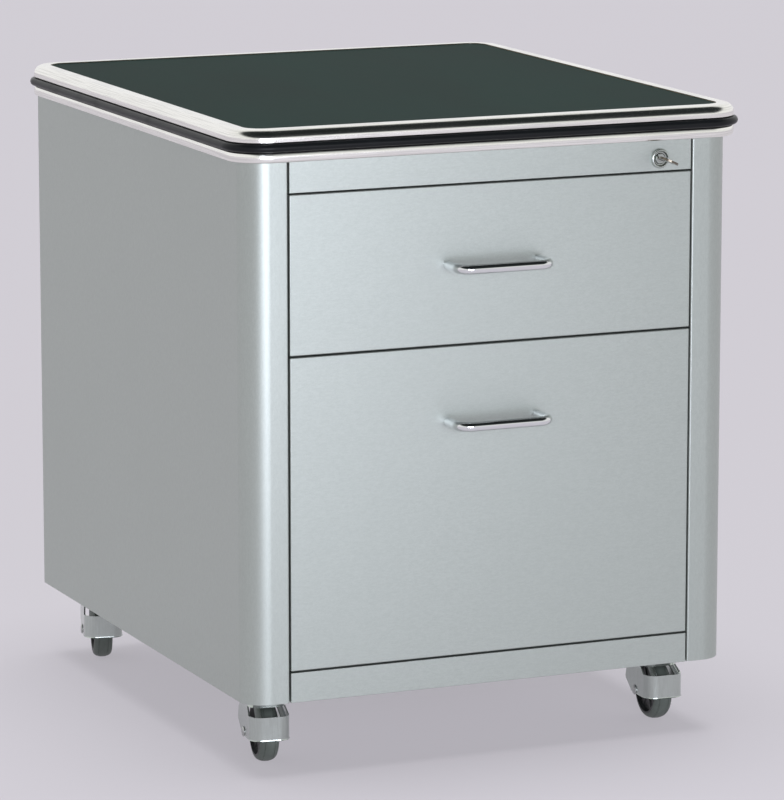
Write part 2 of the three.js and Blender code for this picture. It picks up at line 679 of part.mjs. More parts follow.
// One flat blanked plate: upright strip, arm over the upper drawer with the cam's slot, and two tabs.
function lockBar() {
  const left = lockBarX;
  const right = lockBarX + LOCK_BAR_WIDTH;
  const armTop = lockZ + LOCK_ARM_HEIGHT / 2;
  const armBase = lockZ - LOCK_ARM_HEIGHT / 2;
  const armEnd = lockX - CAM_PIN / 2 - LOCK_ARM_END;
  const tabReach = trayHalf + GAP + CASE_SHEET + CATCH_CLEARANCE;
  const tabBase = (trayTop) => trayTop - CATCH_DROP + LOCK_TAB_LIFT;
  const upperTab = tabBase(upperTrayTop);
  const lowerTab = tabBase(lowerTrayTop);
  const shape = outline([
    [armEnd, armTop], [armEnd, armBase], [left, armBase],
    [left, upperTab + LOCK_TAB_HEIGHT], [tabReach, upperTab + LOCK_TAB_HEIGHT],
    [tabReach, upperTab], [left, upperTab],
    [left, lowerTab + LOCK_TAB_HEIGHT], [tabReach, lowerTab + LOCK_TAB_HEIGHT],
    [tabReach, lowerTab], [right, lowerTab], [right, armTop],
  ]);
  const slotEnd = CAM_PIN / 2 + 1;
  const slotHalf = CAM_PIN / 2 + CAM_PIN_PLAY;
  shape.holes.push(new THREE.Path([
    [lockX - slotEnd, lockZ - slotHalf], [lockX + CAM_THROW + slotEnd, lockZ - slotHalf],
    [lockX + CAM_THROW + slotEnd, lockZ + slotHalf], [lockX - slotEnd, lockZ + slotHalf],
  ].map(([x, z]) => new THREE.Vector2(x, z))));
  return alongY(shape, lockBarY, lockBarY + LOCK_BAR_SHEET);
}

add(lock, 'lock_barrel', lockBarrel(), chrome);
const rotor = subGroup(lock);
rotor.rotation.y = THREE.MathUtils.degToRad(KEY_REST_TILT);
add(rotor, 'lock_plug', lockPlug(), chrome);
add(rotor, 'key', flatKey(), chrome);
add(lock, 'lock_cam', lockCam(), zincSteel);
add(cabinet, 'lock_bar', lockBar(), zincSteel);

// ---- Casters
const wheelRadius = WHEEL_DIAMETER / 2;
const forkFront = -wheelRadius - FORK_FRONT_GAP;

// The mounting plate with its raised ball race and riveted kingpin.
function casterPlate() {
  const half = CASTER_PLATE / 2;
  const race = RACE_DIAMETER / 2;
  const pin = KINGPIN_DIAMETER / 2;
  const head = KINGPIN_HEAD / 2;
  const headTop = crownBase - RUNNING_CLEARANCE;
  const raceBase = crownTop + RUNNING_CLEARANCE;
  const kingpin = turned([
    [0, headTop - KINGPIN_HEAD_THICKNESS], [head, headTop - KINGPIN_HEAD_THICKNESS],
    [head, headTop], [pin, headTop], [pin, raceBase], [race, raceBase],
    [race, raceBase + RACE_TAPER], [race - RACE_TAPER, plateBase],
    [race - RACE_TAPER, plateTop - RACE_SINK], [0, plateTop - RACE_SINK],
  ], 16);
  const holes = [[-1, -1], [1, -1], [1, 1], [-1, 1]].map(([sx, sy]) =>
    rod(CASTER_SCREW_HOLE / 2, CASTER_PLATE_THICKNESS * 4, 8).rotateX(Math.PI / 2)
      .translate(sx * CASTER_SCREW_SPACING / 2, sy * CASTER_SCREW_SPACING / 2, plateBase));
  return cut(join(box(-half, half, -half, half, plateBase, plateTop), kingpin), ...holes);
}

// The hood: two cheeks and a rounded front skirt, held to the crown by a strap at the front.
function casterFork() {
  const outer = FORK_WIDTH / 2;
  const inner = outer - FORK_SHEET;
  const cornerY = forkFront + FORK_CORNER;
  const cornerX = outer - FORK_CORNER;
  const skirt = raised([
    [outer, FORK_REAR],
    ...arc(cornerX, cornerY, FORK_CORNER, 0, -90, 4),
    ...arc(-cornerX, cornerY, FORK_CORNER, -90, -180, 4),
    [-outer, FORK_REAR], [-inner, FORK_REAR],
    ...arc(-cornerX, cornerY, FORK_CORNER - FORK_SHEET, 180, 270, 4),
    ...arc(cornerX, cornerY, FORK_CORNER - FORK_SHEET, 270, 360, 4),
    [inner, FORK_REAR],
  ], 0, crownTop);
  const crownFront = forkFront + FORK_CROWN_FRONT;
  const skirtTop = FORK_SKIRT_LIFT + FORK_SKIRT_HEIGHT;
  const crown = box(-inner - FORK_LAP, inner + FORK_LAP, crownFront, FORK_CROWN_REAR, crownBase, crownTop);
  const strap = alongX([
    [crownFront + FORK_LAP, crownTop], [forkFront, skirtTop], [forkFront, skirtTop - 2 * FORK_SHEET],
    [forkFront + FORK_SHEET, skirtTop - 2 * FORK_SHEET], [forkFront + FORK_SHEET, skirtTop - FORK_LAP],
    [crownFront + FORK_LAP, crownBase],
  ], -FORK_STRAP / 2, FORK_STRAP / 2);
  const silhouette = alongX([
    [forkFront - 1, FORK_SKIRT_LIFT], [-FORK_BOSS_FOOT, FORK_SKIRT_LIFT],
    [-FORK_BOSS_FOOT / 2, wheelRadius - FORK_BOSS], [FORK_BOSS_FOOT / 2, wheelRadius - FORK_BOSS],
    [FORK_BOSS_FOOT, wheelRadius + 1], [FORK_REAR, FORK_REAR_BASE],
    [FORK_REAR - 3, FORK_REAR_BASE + 10], [FORK_CROWN_REAR + 1, crownTop],
    [crownFront, crownTop], [forkFront + FORK_SHEET, skirtTop], [forkFront - 1, skirtTop],
  ], -outer - 1, outer + 1);
  const shell = common(join(skirt, crown), silhouette);
  const pinHole = rod(KINGPIN_DIAMETER / 2 + RUNNING_CLEARANCE, 20, 16).rotateX(Math.PI / 2)
    .translate(0, -WHEEL_TRAIL, crownTop);
  const axleHole = rod(AXLE_DIAMETER / 2 + RUNNING_CLEARANCE, FORK_WIDTH * 2, 14).rotateZ(Math.PI / 2)
    .translate(0, 0, wheelRadius);
  return cut(join(shell, strap), pinHole, axleHole);
}

function casterAxle() {
  const shoulder = FORK_WIDTH / 2 + RUNNING_CLEARANCE;
  const end = shoulder + AXLE_HEAD_THICKNESS;
  const pin = AXLE_DIAMETER / 2;
  const head = AXLE_HEAD / 2;
  return turned([
    [0, -end], [head - 1, -end], [head, -shoulder - AXLE_HEAD_EDGE], [head, -shoulder],
    [pin, -shoulder], [pin, shoulder], [head, shoulder], [head, shoulder + AXLE_HEAD_EDGE],
    [head - 1, end], [0, end],
  ], 14).rotateY(Math.PI / 2).translate(0, 0, wheelRadius);
}

function casterWheel() {
  const bore = AXLE_DIAMETER / 2 + RUNNING_CLEARANCE;
  const hub = WHEEL_HUB / 2;
  const hubHalf = WHEEL_HUB_WIDTH / 2;
  const half = WHEEL_WIDTH / 2;
  const web = half - WHEEL_WEB_INSET;
  const tyreInner = wheelRadius - TYRE_THICKNESS;
  const [faceIn, sideIn, rimIn, treadIn] = TYRE_SHOULDER;
  const halfSection = [
    [bore, hubHalf], [hub, hubHalf], [hub + 1, web], [tyreInner - 1.5, web], [tyreInner, half],
    [wheelRadius - faceIn, half], [wheelRadius - rimIn, half - sideIn], [wheelRadius, half - treadIn],
  ];
  const section = [
    ...halfSection.map(([r, x]) => [r, -x]),
    ...halfSection.slice().reverse(),
    [bore, -hubHalf],
  ];
  return turned(section, 28).rotateY(Math.PI / 2).translate(0, 0, wheelRadius);
}

for (const [end, endY] of [['front', CASTER_INSET_END], ['rear', CASE_DEPTH - CASTER_INSET_END]]) {
  for (const [name, side] of Object.entries(sides)) {
    const label = `${end}_${name}`;
    const caster = subGroup(cabinet, side * (halfWidth - CASTER_INSET_SIDE), endY, 0);
    add(caster, `${label}_caster_plate`, casterPlate(), zincSteel);
    const swivel = subGroup(caster);
    swivel.rotation.z = THREE.MathUtils.degToRad(FORK_REST_TURNS[label]);
    const wheelSet = subGroup(swivel, 0, WHEEL_TRAIL, 0);
    add(wheelSet, `${label}_caster_fork`, casterFork(), chrome);
    add(wheelSet, `${label}_caster_axle`, casterAxle(), zincSteel);
    add(wheelSet, `${label}_caster_wheel`, casterWheel(), greyTyre);
  }
}

export default cabinet;
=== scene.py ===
"""A two-drawer steel pedestal on casters: its fine surface, finishes, floor, lights and camera."""

import json
import math

import bmesh
import bpy
from bpy.props import FloatProperty, FloatVectorProperty, IntProperty
from mathutils import Matrix, Vector

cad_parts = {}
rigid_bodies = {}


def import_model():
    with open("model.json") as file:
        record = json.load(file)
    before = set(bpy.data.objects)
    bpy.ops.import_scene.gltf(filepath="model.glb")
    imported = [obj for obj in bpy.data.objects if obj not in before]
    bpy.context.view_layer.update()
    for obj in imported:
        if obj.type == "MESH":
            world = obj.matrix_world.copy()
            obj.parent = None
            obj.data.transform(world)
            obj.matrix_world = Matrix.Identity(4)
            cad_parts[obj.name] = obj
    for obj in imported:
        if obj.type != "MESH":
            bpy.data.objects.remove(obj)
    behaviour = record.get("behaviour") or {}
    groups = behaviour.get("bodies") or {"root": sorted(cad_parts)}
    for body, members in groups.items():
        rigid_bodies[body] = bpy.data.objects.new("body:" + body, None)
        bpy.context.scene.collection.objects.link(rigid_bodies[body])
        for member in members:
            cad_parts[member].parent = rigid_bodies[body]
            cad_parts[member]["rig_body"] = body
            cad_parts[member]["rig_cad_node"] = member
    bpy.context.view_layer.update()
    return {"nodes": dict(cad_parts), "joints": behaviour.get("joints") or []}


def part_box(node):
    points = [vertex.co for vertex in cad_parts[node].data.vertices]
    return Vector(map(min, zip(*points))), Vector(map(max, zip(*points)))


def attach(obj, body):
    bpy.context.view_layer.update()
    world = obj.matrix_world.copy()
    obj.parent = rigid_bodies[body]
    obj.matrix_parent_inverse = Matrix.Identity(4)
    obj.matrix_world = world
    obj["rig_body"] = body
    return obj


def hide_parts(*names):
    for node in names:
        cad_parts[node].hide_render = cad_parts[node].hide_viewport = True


bl_info = {
    "name": "Drawer Pedestal",
    "version": (1, 0, 0),
    "blender": (4, 5, 0),
    "location": "3D View > Sidebar > Pedestal",
    "description": "Builds the fine surface of a two-drawer steel pedestal round its packed frame",
    "category": "Object",
}

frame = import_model()

MM = 0.001
CORNERS = ("front_left", "front_right", "rear_left", "rear_right")
SIDES = {"left": -1, "right": 1}
LEVELS = ("upper", "lower")
UP = Vector((0, 0, 1))
BACK = Vector((0, 1, 0))
MERGE = 2e-6
MIX_SHARE, MIX_FIRST, MIX_SECOND, MIX_RESULT = 0, 6, 7, 2
KEY_TILT = math.radians(24)
PLATE_SHEET = 2 * MM
PLATE_SCREWS = 19 * MM


# ---- Sizes and colours that a user may change

def length(name, text, millimetres):
    return FloatProperty(
        name=name, description=text, default=millimetres * MM, min=0.0, unit="LENGTH", precision=4)


def strength(name, text, value):
    return FloatProperty(
        name=name, description=text, default=value, min=0.0, soft_max=4.0, subtype="FACTOR")


def angle(name, text, degrees):
    return FloatProperty(
        name=name, description=text, default=math.radians(degrees), unit="ROTATION")


def colour(name, text, red, green, blue):
    return FloatVectorProperty(
        name=name, description=text, default=(red, green, blue), min=0.0, max=1.0,
        size=3, subtype="COLOR")


class PedestalSizes(bpy.types.PropertyGroup):
    """Sizes of the fine shapes that the frame leaves plain."""

    corner: length("Case corner", "Outside radius of the case's front corners", 25)
    sheet: length("Case sheet", "Thickness of the case's sheet", 1.5)
    fold: length("Case fold", "Outside radius of the stiles' folds", 1.7)
    drawer_sheet: length("Drawer sheet", "Thickness of the drawer fronts", 0.9)
    drawer_fold: length("Drawer fold", "Outside radius of the drawer fronts' folds", 1.1)
    edge: length("Edge", "Rounding of a cut edge", 0.35)
    rod: length("Handle rod", "Diameter of the handles' rod", 9.4)
    rod_bend: length("Handle bend", "Radius of the handles' bends", 12)
    hood_corner: length("Hood corner", "Outside radius of a caster hood's front corners", 12)
    hood_sheet: length("Hood sheet", "Thickness of a caster hood", 1.5)
    hood_width: length("Hood width", "Width of a caster hood", 40)
    hood_strap: length("Hood strap", "Width of the straps beside a caster hood's window", 5.5)
    ball: length("Slide ball", "Diameter of the balls in the drawer slides", 1.8)
    round_steps: IntProperty(
        name="Round steps", description="Facets in a full turn of a round piece", default=64, min=16,
        subtype="UNSIGNED")


class PedestalColours(bpy.types.PropertyGroup):
    """Base colours of the finishes."""

    steel: colour("Case steel", "Fine brushed sheet of the case", 0.455, 0.492, 0.462)
    inner: colour("Inner steel", "Satin grey coat of the trays and pans", 0.36, 0.38, 0.385)
    zinc: colour("Zinc", "Plated slides, plates and lock parts", 0.52, 0.53, 0.52)
    chrome: colour("Chrome", "Bright plating", 0.8, 0.81, 0.82)
    nickel: colour("Nickel", "Dull plating of the casters", 0.5, 0.54, 0.51)
    key_nickel: colour("Key", "Worn nickel silver of the key", 0.2, 0.175, 0.14)
    trim: colour("Trim", "Polished edge moulding", 0.93, 0.92, 0.88)
    vinyl: colour("Vinyl", "Black bumper strip", 0.006, 0.007, 0.008)
    linoleum: colour("Linoleum", "Dark green top sheet", 0.012, 0.027, 0.023)
    board: colour("Board", "Particle board under the top sheet", 0.42, 0.30, 0.18)
    tyre: colour("Tyre", "Moulded grey-green tread", 0.085, 0.1, 0.088)
    disc: colour("Disc", "Black wheel centre", 0.008, 0.009, 0.009)


class PedestalStage(bpy.types.PropertyGroup):
    """Floor, light and camera."""

    floor: colour("Floor", "Pale mauve floor", 0.65, 0.625, 0.675)
    glow: strength("Floor glow", "Light from under the floor, which keeps shadows pale", 0.585)
    ambient: strength("Ambient", "Strength of the light from all round", 0.91)
    key: FloatProperty(
        name="Key", description="Power of the broad light in front", default=16.0, min=0.0,
        unit="POWER")
    top: strength("Top", "Strength of the soft light from overhead", 2.4)
    eye: FloatVectorProperty(
        name="Eye", description="Place of the camera", default=(-1.89367, -4.41741, 1.21111),
        size=3, subtype="TRANSLATION", precision=5)
    yaw: angle("Yaw", "Turn of the camera from straight ahead", 23.3775)
    pitch: angle("Pitch", "Downward tilt of the camera", 10.6894)
    lens: FloatProperty(
        name="Lens", description="Focal length on a 36 mm sensor, in millimetres",
        default=217.07, min=1.0, unit="CAMERA")


# ---- Modelling steps

def deselect():
    if bpy.context.object and bpy.context.object.mode != "OBJECT":
        bpy.ops.object.mode_set(mode="OBJECT")
    bpy.ops.object.select_all(action="DESELECT")


def only(piece):
    deselect()
    piece.select_set(True)
    bpy.context.view_layer.objects.active = piece
    return piece


def edit(piece):
    only(piece)
    bpy.ops.object.mode_set(mode="EDIT")
    bpy.ops.mesh.select_all(action="SELECT")


def close_edit():
    bpy.ops.object.mode_set(mode="OBJECT")
    return bpy.context.object


def pick(kind, test):
    """Selects the vertices, edges or faces of the mesh in edit mode whose middle passes the test."""
    bpy.ops.mesh.select_mode(type=kind)
    bpy.ops.mesh.select_all(action="DESELECT")
    mesh = bmesh.from_edit_mesh(bpy.context.object.data)
    if kind == "VERT":
        chosen = [vertex for vertex in mesh.verts if test(vertex.co)]
    elif kind == "EDGE":
        chosen = [edge for edge in mesh.edges
                  if test((edge.verts[0].co + edge.verts[1].co) / 2, edge)]
    else:
        chosen = [face for face in mesh.faces if test(face.calc_center_median(), face.normal)]
    for item in chosen:
        item.select_set(True)
    bmesh.update_edit_mesh(bpy.context.object.data)
    return len(chosen)


def primitive(name, kind, location, stretch=(1, 1, 1), rotation=(0, 0, 0), **settings):
    """Adds a primitive at its size and place, and keeps the place in the mesh."""
    deselect()
    add = getattr(bpy.ops.mesh, f"primitive_{kind}_add")
    add(location=location, rotation=rotation, **settings)
    piece = bpy.context.object
    piece.name = name
    piece.scale = stretch
    bpy.ops.object.transform_apply(location=True, rotation=True, scale=True)
    return piece


def box_piece(name, low, high):
    low, high = Vector(low), Vector(high)
    return primitive(name, "cube", (low + high) / 2, stretch=high - low, size=1)


def draw(name, points, face=False, loop=True):
    """Draws an outline point by point. It is left in edit mode with all of it selected."""
    primitive(name, "plane", points[0], size=MM)
    bpy.ops.object.mode_set(mode="EDIT")
    bpy.ops.mesh.select_mode(type="VERT")
    bpy.ops.mesh.select_all(action="SELECT")
    bpy.ops.mesh.merge(type="CENTER")
    for here, there in zip(points, points[1:]):
        step = Vector(there) - Vector(here)
        bpy.ops.mesh.extrude_vertices_move(TRANSFORM_OT_translate={"value": step})
    bpy.ops.mesh.select_all(action="SELECT")
    if loop:
        bpy.ops.mesh.edge_face_add()
        if not face:
            bpy.ops.mesh.delete(type="ONLY_FACE")
            bpy.ops.mesh.select_all(action="SELECT")


def pull(step):
    """Extrudes what is selected by a step."""
    bpy.ops.mesh.extrude_region_move(TRANSFORM_OT_translate={"value": Vector(step)})


def swing(centre, axis, degrees, steps):
    """Spins what is selected round an axis, anticlockwise as seen from the axis's end."""
    bpy.ops.mesh.spin(steps=steps, angle=-math.radians(degrees), center=centre, axis=axis)


def bend_points(width, steps):
    """Rounds the selected points of an outline."""
    bpy.ops.mesh.bevel(offset=width, segments=steps, affect="VERTICES", offset_type="OFFSET")


def tidy():
    """Merges doubled points and turns every face outwards."""
    bpy.ops.mesh.select_all(action="SELECT")
    bpy.ops.mesh.remove_doubles(threshold=MERGE)
    bpy.ops.mesh.normals_make_consistent(inside=False)


def face_out(test):
    """Makes all faces agree, then turns them over unless the tested ones point out."""
    bpy.ops.mesh.select_all(action="SELECT")
    bpy.ops.mesh.normals_make_consistent(inside=False)
    if not pick("FACE", test):
        bpy.ops.mesh.select_all(action="SELECT")
        bpy.ops.mesh.flip_normals()


def modify(piece, kind, **settings):
    """Adds a modifier and applies it."""
    only(piece)
    modifier = piece.modifiers.new(kind.title(), kind)
    for name, value in settings.items():
        setattr(modifier, name, value)
    bpy.ops.object.modifier_apply(modifier=modifier.name)
    return piece


def soften(piece, width, segments=2, degrees=35):
    """Rounds every edge that is sharper than an angle."""
    return modify(
        piece, "BEVEL", width=width, segments=segments, limit_method="ANGLE",
        angle_limit=math.radians(degrees))


def turned(name, section, axis_point, axis, steps):
    """A round piece spun from half its section, which starts and ends on the axis."""
    draw(name, section, loop=False)
    swing(axis_point, axis, 360, steps)
    tidy()
    return close_edit()


def ring(name, section, axis_point, axis, steps):
    """A round piece spun from a closed section that stands clear of the axis."""
    draw(name, section)
    swing(axis_point, axis, 360, steps)
    tidy()
    return close_edit()


def arc(centre, radius, start, stop, steps):
    """Points of an arc in a plane, as pairs."""
    turns = [math.radians(start + (stop - start) * i / steps) for i in range(steps + 1)]
    return [(centre[0] + radius * math.cos(t), centre[1] + radius * math.sin(t)) for t in turns]


def placed(piece, matrix):
    """Moves a piece's mesh to its place."""
    piece.data.transform(matrix)
    piece.data.update()
    return piece


def copy_of(piece, name, matrix=None):
    """A copy with its own mesh, moved to its place."""
    twin = piece.copy()
    twin.data = piece.data.copy()
    twin.name = name
    bpy.context.scene.collection.objects.link(twin)
    return placed(twin, matrix) if matrix else twin


def joined(name, *pieces):
    """Makes one piece of several."""
    only(pieces[0])
    for piece in pieces[1:]:
        piece.select_set(True)
    bpy.ops.object.join()
    pieces[0].name = name
    return pieces[0]


def drop(*pieces):
    for piece in pieces:
        bpy.data.objects.remove(piece)


def merged_copy(node):
    """A copy of a node's mesh with its loose triangles merged into flat faces."""
    piece = copy_of(frame["nodes"][node], f"{node}_fine")
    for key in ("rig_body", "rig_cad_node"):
        if key in piece:
            del piece[key]
    piece.parent = None
    piece.matrix_world = Matrix.Identity(4)
    piece.hide_render = False
    piece.hide_viewport = False
    edit(piece)
    bpy.ops.mesh.remove_doubles(threshold=MERGE)
    bpy.ops.mesh.dissolve_limited(angle_limit=math.radians(1))
    return close_edit()


def finished(piece, body, finish, slot, *nodes, smooth=35, weighted=True):
    """Smooths a piece, gives it its finish and lets it ride on its body."""
    only(piece)
    bpy.ops.object.shade_smooth_by_angle(angle=math.radians(smooth))
    if weighted:
        modify(piece, "WEIGHTED_NORMAL", keep_sharp=True, weight=80)
    piece.data.materials.clear()
    piece.data.materials.append(finishes[finish])
    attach(piece, body)
    if nodes:
        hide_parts(*nodes)
    return piece


# ---- Shader steps

class Wire:
    """A shader socket that can be used in sums."""

    def __init__(self, tree, socket):
        self.tree = tree
        self.socket = socket

    def maths(self, operation, *values):
        node = self.tree.nodes.new("ShaderNodeMath")
        node.operation = operation
        for slot, value in zip(node.inputs, values):
            connect(self.tree, slot, value)
        return Wire(self.tree, node.outputs[0])

    def __add__(self, other):
        return self.maths("ADD", self, other)

    __radd__ = __add__

    def __mul__(self, other):
        return self.maths("MULTIPLY", self, other)

    def __sub__(self, other):
        return self.maths("SUBTRACT", self, other)


def connect(tree, slot, value):
    if isinstance(value, Wire):
        tree.links.new(value.socket, slot)
    elif slot.type == "RGBA" and len(value) == 3:
        slot.default_value = (*value, 1)
    else:
        slot.default_value = value


class Finish:
    """A material being built: node() adds a node and returns its output."""

    def __init__(self, name, **constants):
        self.material = bpy.data.materials.new(name)
        self.material.use_nodes = True
        self.tree = self.material.node_tree
        self.shader = self.tree.nodes["Principled BSDF"]
        self.set(**constants)

    def node(self, kind, settings=None, inputs=None, output=0):
        node = self.tree.nodes.new(kind)
        for name, value in (settings or {}).items():
            setattr(node, name, value)
        for name, value in (inputs or {}).items():
            connect(self.tree, node.inputs[name], value)
        return Wire(self.tree, node.outputs[output])

    def place(self, scale=(1, 1, 1)):
        """Object coordinates, stretched."""
        here = self.node("ShaderNodeTexCoord", output="Object")
        return self.node("ShaderNodeMapping", inputs={"Vector": here, "Scale": scale})

    def noise(self, scale, detail=3, stretch=(1, 1, 1), rough=0.5):
        return self.node(
            "ShaderNodeTexNoise",
            inputs={"Vector": self.place(stretch), "Scale": scale, "Detail": detail, "Roughness": rough},
            output="Fac")

    def band(self, value, low, high):
        """Maps a range of a value to 0 to 1, smoothly."""
        return self.node(
            "ShaderNodeMapRange", {"interpolation_type": "SMOOTHSTEP"},
            {"Value": value, "From Min": low, "From Max": high})

    def mix(self, share, first, second):
        return self.node(
            "ShaderNodeMix", {"data_type": "RGBA"},
            {MIX_SHARE: share, MIX_FIRST: first, MIX_SECOND: second}, output=MIX_RESULT)

    def bump(self, height, strength, distance):
        return self.node(
            "ShaderNodeBump", inputs={"Height": height, "Strength": strength, "Distance": distance})

    def set(self, **wires):
        for name, wire in wires.items():
            connect(self.tree, self.shader.inputs[name.replace("_", " ")], wire)
        return self.material


def ramp_stops(ramp, stops):
    while len(ramp.elements) > 1:
        ramp.elements.remove(ramp.elements[-1])
    ramp.elements[0].position = stops[0][0]
    ramp.elements[0].color = stops[0][1]
    for position, value in stops[1:]:
        ramp.elements.new(position).color = value


def shade(rgb, factor):
    return tuple(min(1.0, channel * factor) for channel in rgb)


def brushed_steel(name, rgb, along):
    """Sheet with a fine brushed grain along one axis, under a thin clear coat."""
    finish = Finish(name, Metallic=0.82, Coat_Roughness=0.32, Specular_IOR_Level=0.5)
    squeeze = {"X": (0.3, 1, 1), "Z": (1, 1, 0.3)}[along]
    grain = finish.noise(2400, 2, squeeze)
    streaks = finish.noise(700, 3, squeeze)
    cloud = finish.noise(5, 3)
    brushing = finish.band(grain * 0.6 + streaks * 0.4, 0.3, 0.7)
    tone = finish.mix(brushing, shade(rgb, 0.93), shade(rgb, 1.07))
    tone = finish.mix(finish.band(cloud, 0.35, 0.7) * 0.25, tone, shade(rgb, 0.96))
    rough = 0.36 + grain * 0.1 + cloud * 0.05
    return finish.set(
        Base_Color=tone, Roughness=rough, Coat_Weight=0.25 + cloud * 0.1,
        Normal=finish.bump(grain * 0.7 + streaks * 0.3, 0.12, 0.00012))


def satin_coat(name, rgb):
    """Satin powder coat with a faint orange peel."""
    finish = Finish(name, Specular_IOR_Level=0.5)
    peel = finish.noise(900, 2)
    cloud = finish.noise(7, 3)
    scuff = finish.band(finish.noise(60, 6, (1, 0.15, 1)), 0.66, 0.74)
    tone = finish.mix(cloud, shade(rgb, 0.92), shade(rgb, 1.06))
    tone = finish.mix(scuff * 0.35, tone, shade(rgb, 1.35))
    return finish.set(
        Base_Color=tone, Metallic=0.35 + cloud * 0.1, Roughness=0.42 + peel * 0.12 - scuff * 0.08,
        Normal=finish.bump(peel, 0.15, 0.0002))


def plated_zinc(name, rgb):
    """Zinc plate: soft spangle, slight milky stains and drawing lines."""
    finish = Finish(name, Metallic=1.0)
    spangle = finish.node(
        "ShaderNodeTexVoronoi", inputs={"Vector": finish.place(), "Scale": 260}, output="Color")
    grey = finish.node("ShaderNodeSeparateColor", inputs={"Color": spangle}, output=0)
    stain = finish.band(finish.noise(22, 5), 0.45, 0.75)
    lines = finish.noise(700, 2, (1, 0.02, 1))
    tone = finish.mix(grey * 0.5, shade(rgb, 0.9), shade(rgb, 1.12))
    tone = finish.mix(stain * 0.35, tone, shade(rgb, 1.2))
    return finish.set(
        Base_Color=tone, Roughness=0.3 + grey * 0.06 + stain * 0.18 + lines * 0.05,
        Normal=finish.bump(lines, 0.1, 0.0001))


def bright_chrome(name, rgb):
    """Bright plating with a trace of polish haze and fine wipe marks."""
    finish = Finish(name, Metallic=1.0)
    haze = finish.noise(45, 4)
    wipes = finish.band(finish.noise(800, 2, (0.05, 1, 1)), 0.55, 0.8)
    return finish.set(
        Base_Color=finish.mix(haze, shade(rgb, 0.96), shade(rgb, 1.03)),
        Roughness=0.045 + haze * 0.05 + wipes * 0.05,
        Normal=finish.bump(haze, 0.03, 0.0003))


def dull_nickel(name, rgb):
    """Pressed and plated sheet: cloudy, with soft dents and fine upright draw marks."""
    finish = Finish(name, Metallic=1.0)
    cloud = finish.noise(120, 4)
    dents = finish.noise(38, 2)
    marks = finish.noise(900, 2, (1, 1, 0.08))
    tone = finish.mix(finish.band(marks, 0.3, 0.7), shade(rgb, 0.97), shade(rgb, 1.04))
    return finish.set(
        Base_Color=tone, Roughness=0.12 + cloud * 0.1 + marks * 0.05,
        Normal=finish.bump(dents * 0.8 + marks * 0.05, 0.12, 0.001))


def polished_trim(name, rgb):
    """Polished extrusion with long die lines round the top."""
    finish = Finish(name, Metallic=1.0)
    lines = finish.noise(1500, 2, (0.012, 0.012, 1))
    haze = finish.noise(18, 4)
    tone = finish.mix(finish.band(lines, 0.35, 0.6), shade(rgb, 0.9), shade(rgb, 1.05))
    return finish.set(
        Base_Color=tone, Roughness=0.1 + lines * 0.1 + haze * 0.05,
        Normal=finish.bump(lines, 0.05, 0.0001))


def black_vinyl(name, rgb):
    """Extruded bumper strip: satin, with drawn lines and dusty patches."""
    finish = Finish(name, Metallic=0.0, Specular_IOR_Level=0.2)
    lines = finish.noise(900, 2, (0.015, 0.015, 1))
    dust = finish.band(finish.noise(30, 6), 0.5, 0.8)
    return finish.set(
        Base_Color=finish.mix(dust * 0.4, rgb, shade(rgb, 2.4)),
        Roughness=0.3 + lines * 0.1 + dust * 0.15,
        Normal=finish.bump(lines, 0.2, 0.00015))


def linoleum(name, rgb):
    """Dark sheet with faint marbling and a fine calendered grain."""
    finish = Finish(name, Metallic=0.0, Specular_IOR_Level=0.004)
    marble = finish.noise(9, 8, (1, 0.35, 1), 0.62)
    speck = finish.noise(420, 3)
    grain = finish.noise(2200, 2)
    tone = finish.mix(finish.band(marble, 0.3, 0.7), shade(rgb, 0.86), shade(rgb, 1.16))
    tone = finish.mix(finish.band(speck, 0.62, 0.75) * 0.4, tone, shade(rgb, 1.6))
    return finish.set(
        Base_Color=tone, Roughness=0.36 + marble * 0.08 + speck * 0.04,
        Normal=finish.bump(grain * 0.6 + speck * 0.4, 0.14, 0.0001))


def particle_board(name, rgb):
    finish = Finish(name, Metallic=0.0)
    chips = finish.node(
        "ShaderNodeTexVoronoi", inputs={"Vector": finish.place((1, 1, 2.5)), "Scale": 300},
        output="Color")
    grey = finish.node("ShaderNodeSeparateColor", inputs={"Color": chips}, output=1)
    fibre = finish.noise(240, 5)
    tone = finish.mix(grey, shade(rgb, 0.7), shade(rgb, 1.25))
    return finish.set(
        Base_Color=tone, Roughness=0.75 + fibre * 0.15, Normal=finish.bump(fibre + grey, 0.4, 0.0004))


def moulded(name, rgb, low, high):
    """Moulded wheel material with a fine matt grain and a little dust."""
    finish = Finish(name, Metallic=0.0, Specular_IOR_Level=0.5)
    grain = finish.noise(1800, 2)
    dust = finish.band(finish.noise(70, 5), 0.45, 0.8)
    return finish.set(
        Base_Color=finish.mix(dust * 0.5, rgb, shade(rgb, 1.7)),
        Roughness=low + grain * (high - low) + dust * 0.1,
        Normal=finish.bump(grain, 0.2, 0.0001))


finishes = {}


def make_finishes(colours):
    makers = {
        "steel_across": (brushed_steel, colours.steel, "X"),
        "steel_upright": (brushed_steel, colours.steel, "Z"),
        "satin_coat": (satin_coat, colours.inner),
        "zinc": (plated_zinc, colours.zinc),
        "chrome": (bright_chrome, colours.chrome),
        "nickel": (dull_nickel, colours.nickel),
        "key_nickel": (dull_nickel, colours.key_nickel),
        "trim": (polished_trim, colours.trim),
        "vinyl": (black_vinyl, colours.vinyl),
        "linoleum": (linoleum, colours.linoleum),
        "board": (particle_board, colours.board),
        "tyre": (moulded, colours.tyre, 0.38, 0.6),
        "disc": (moulded, colours.disc, 0.3, 0.45),
    }
    for name, (maker, rgb, *rest) in makers.items():
        finishes[name] = maker(name, tuple(rgb), *rest)


# ---- Pieces

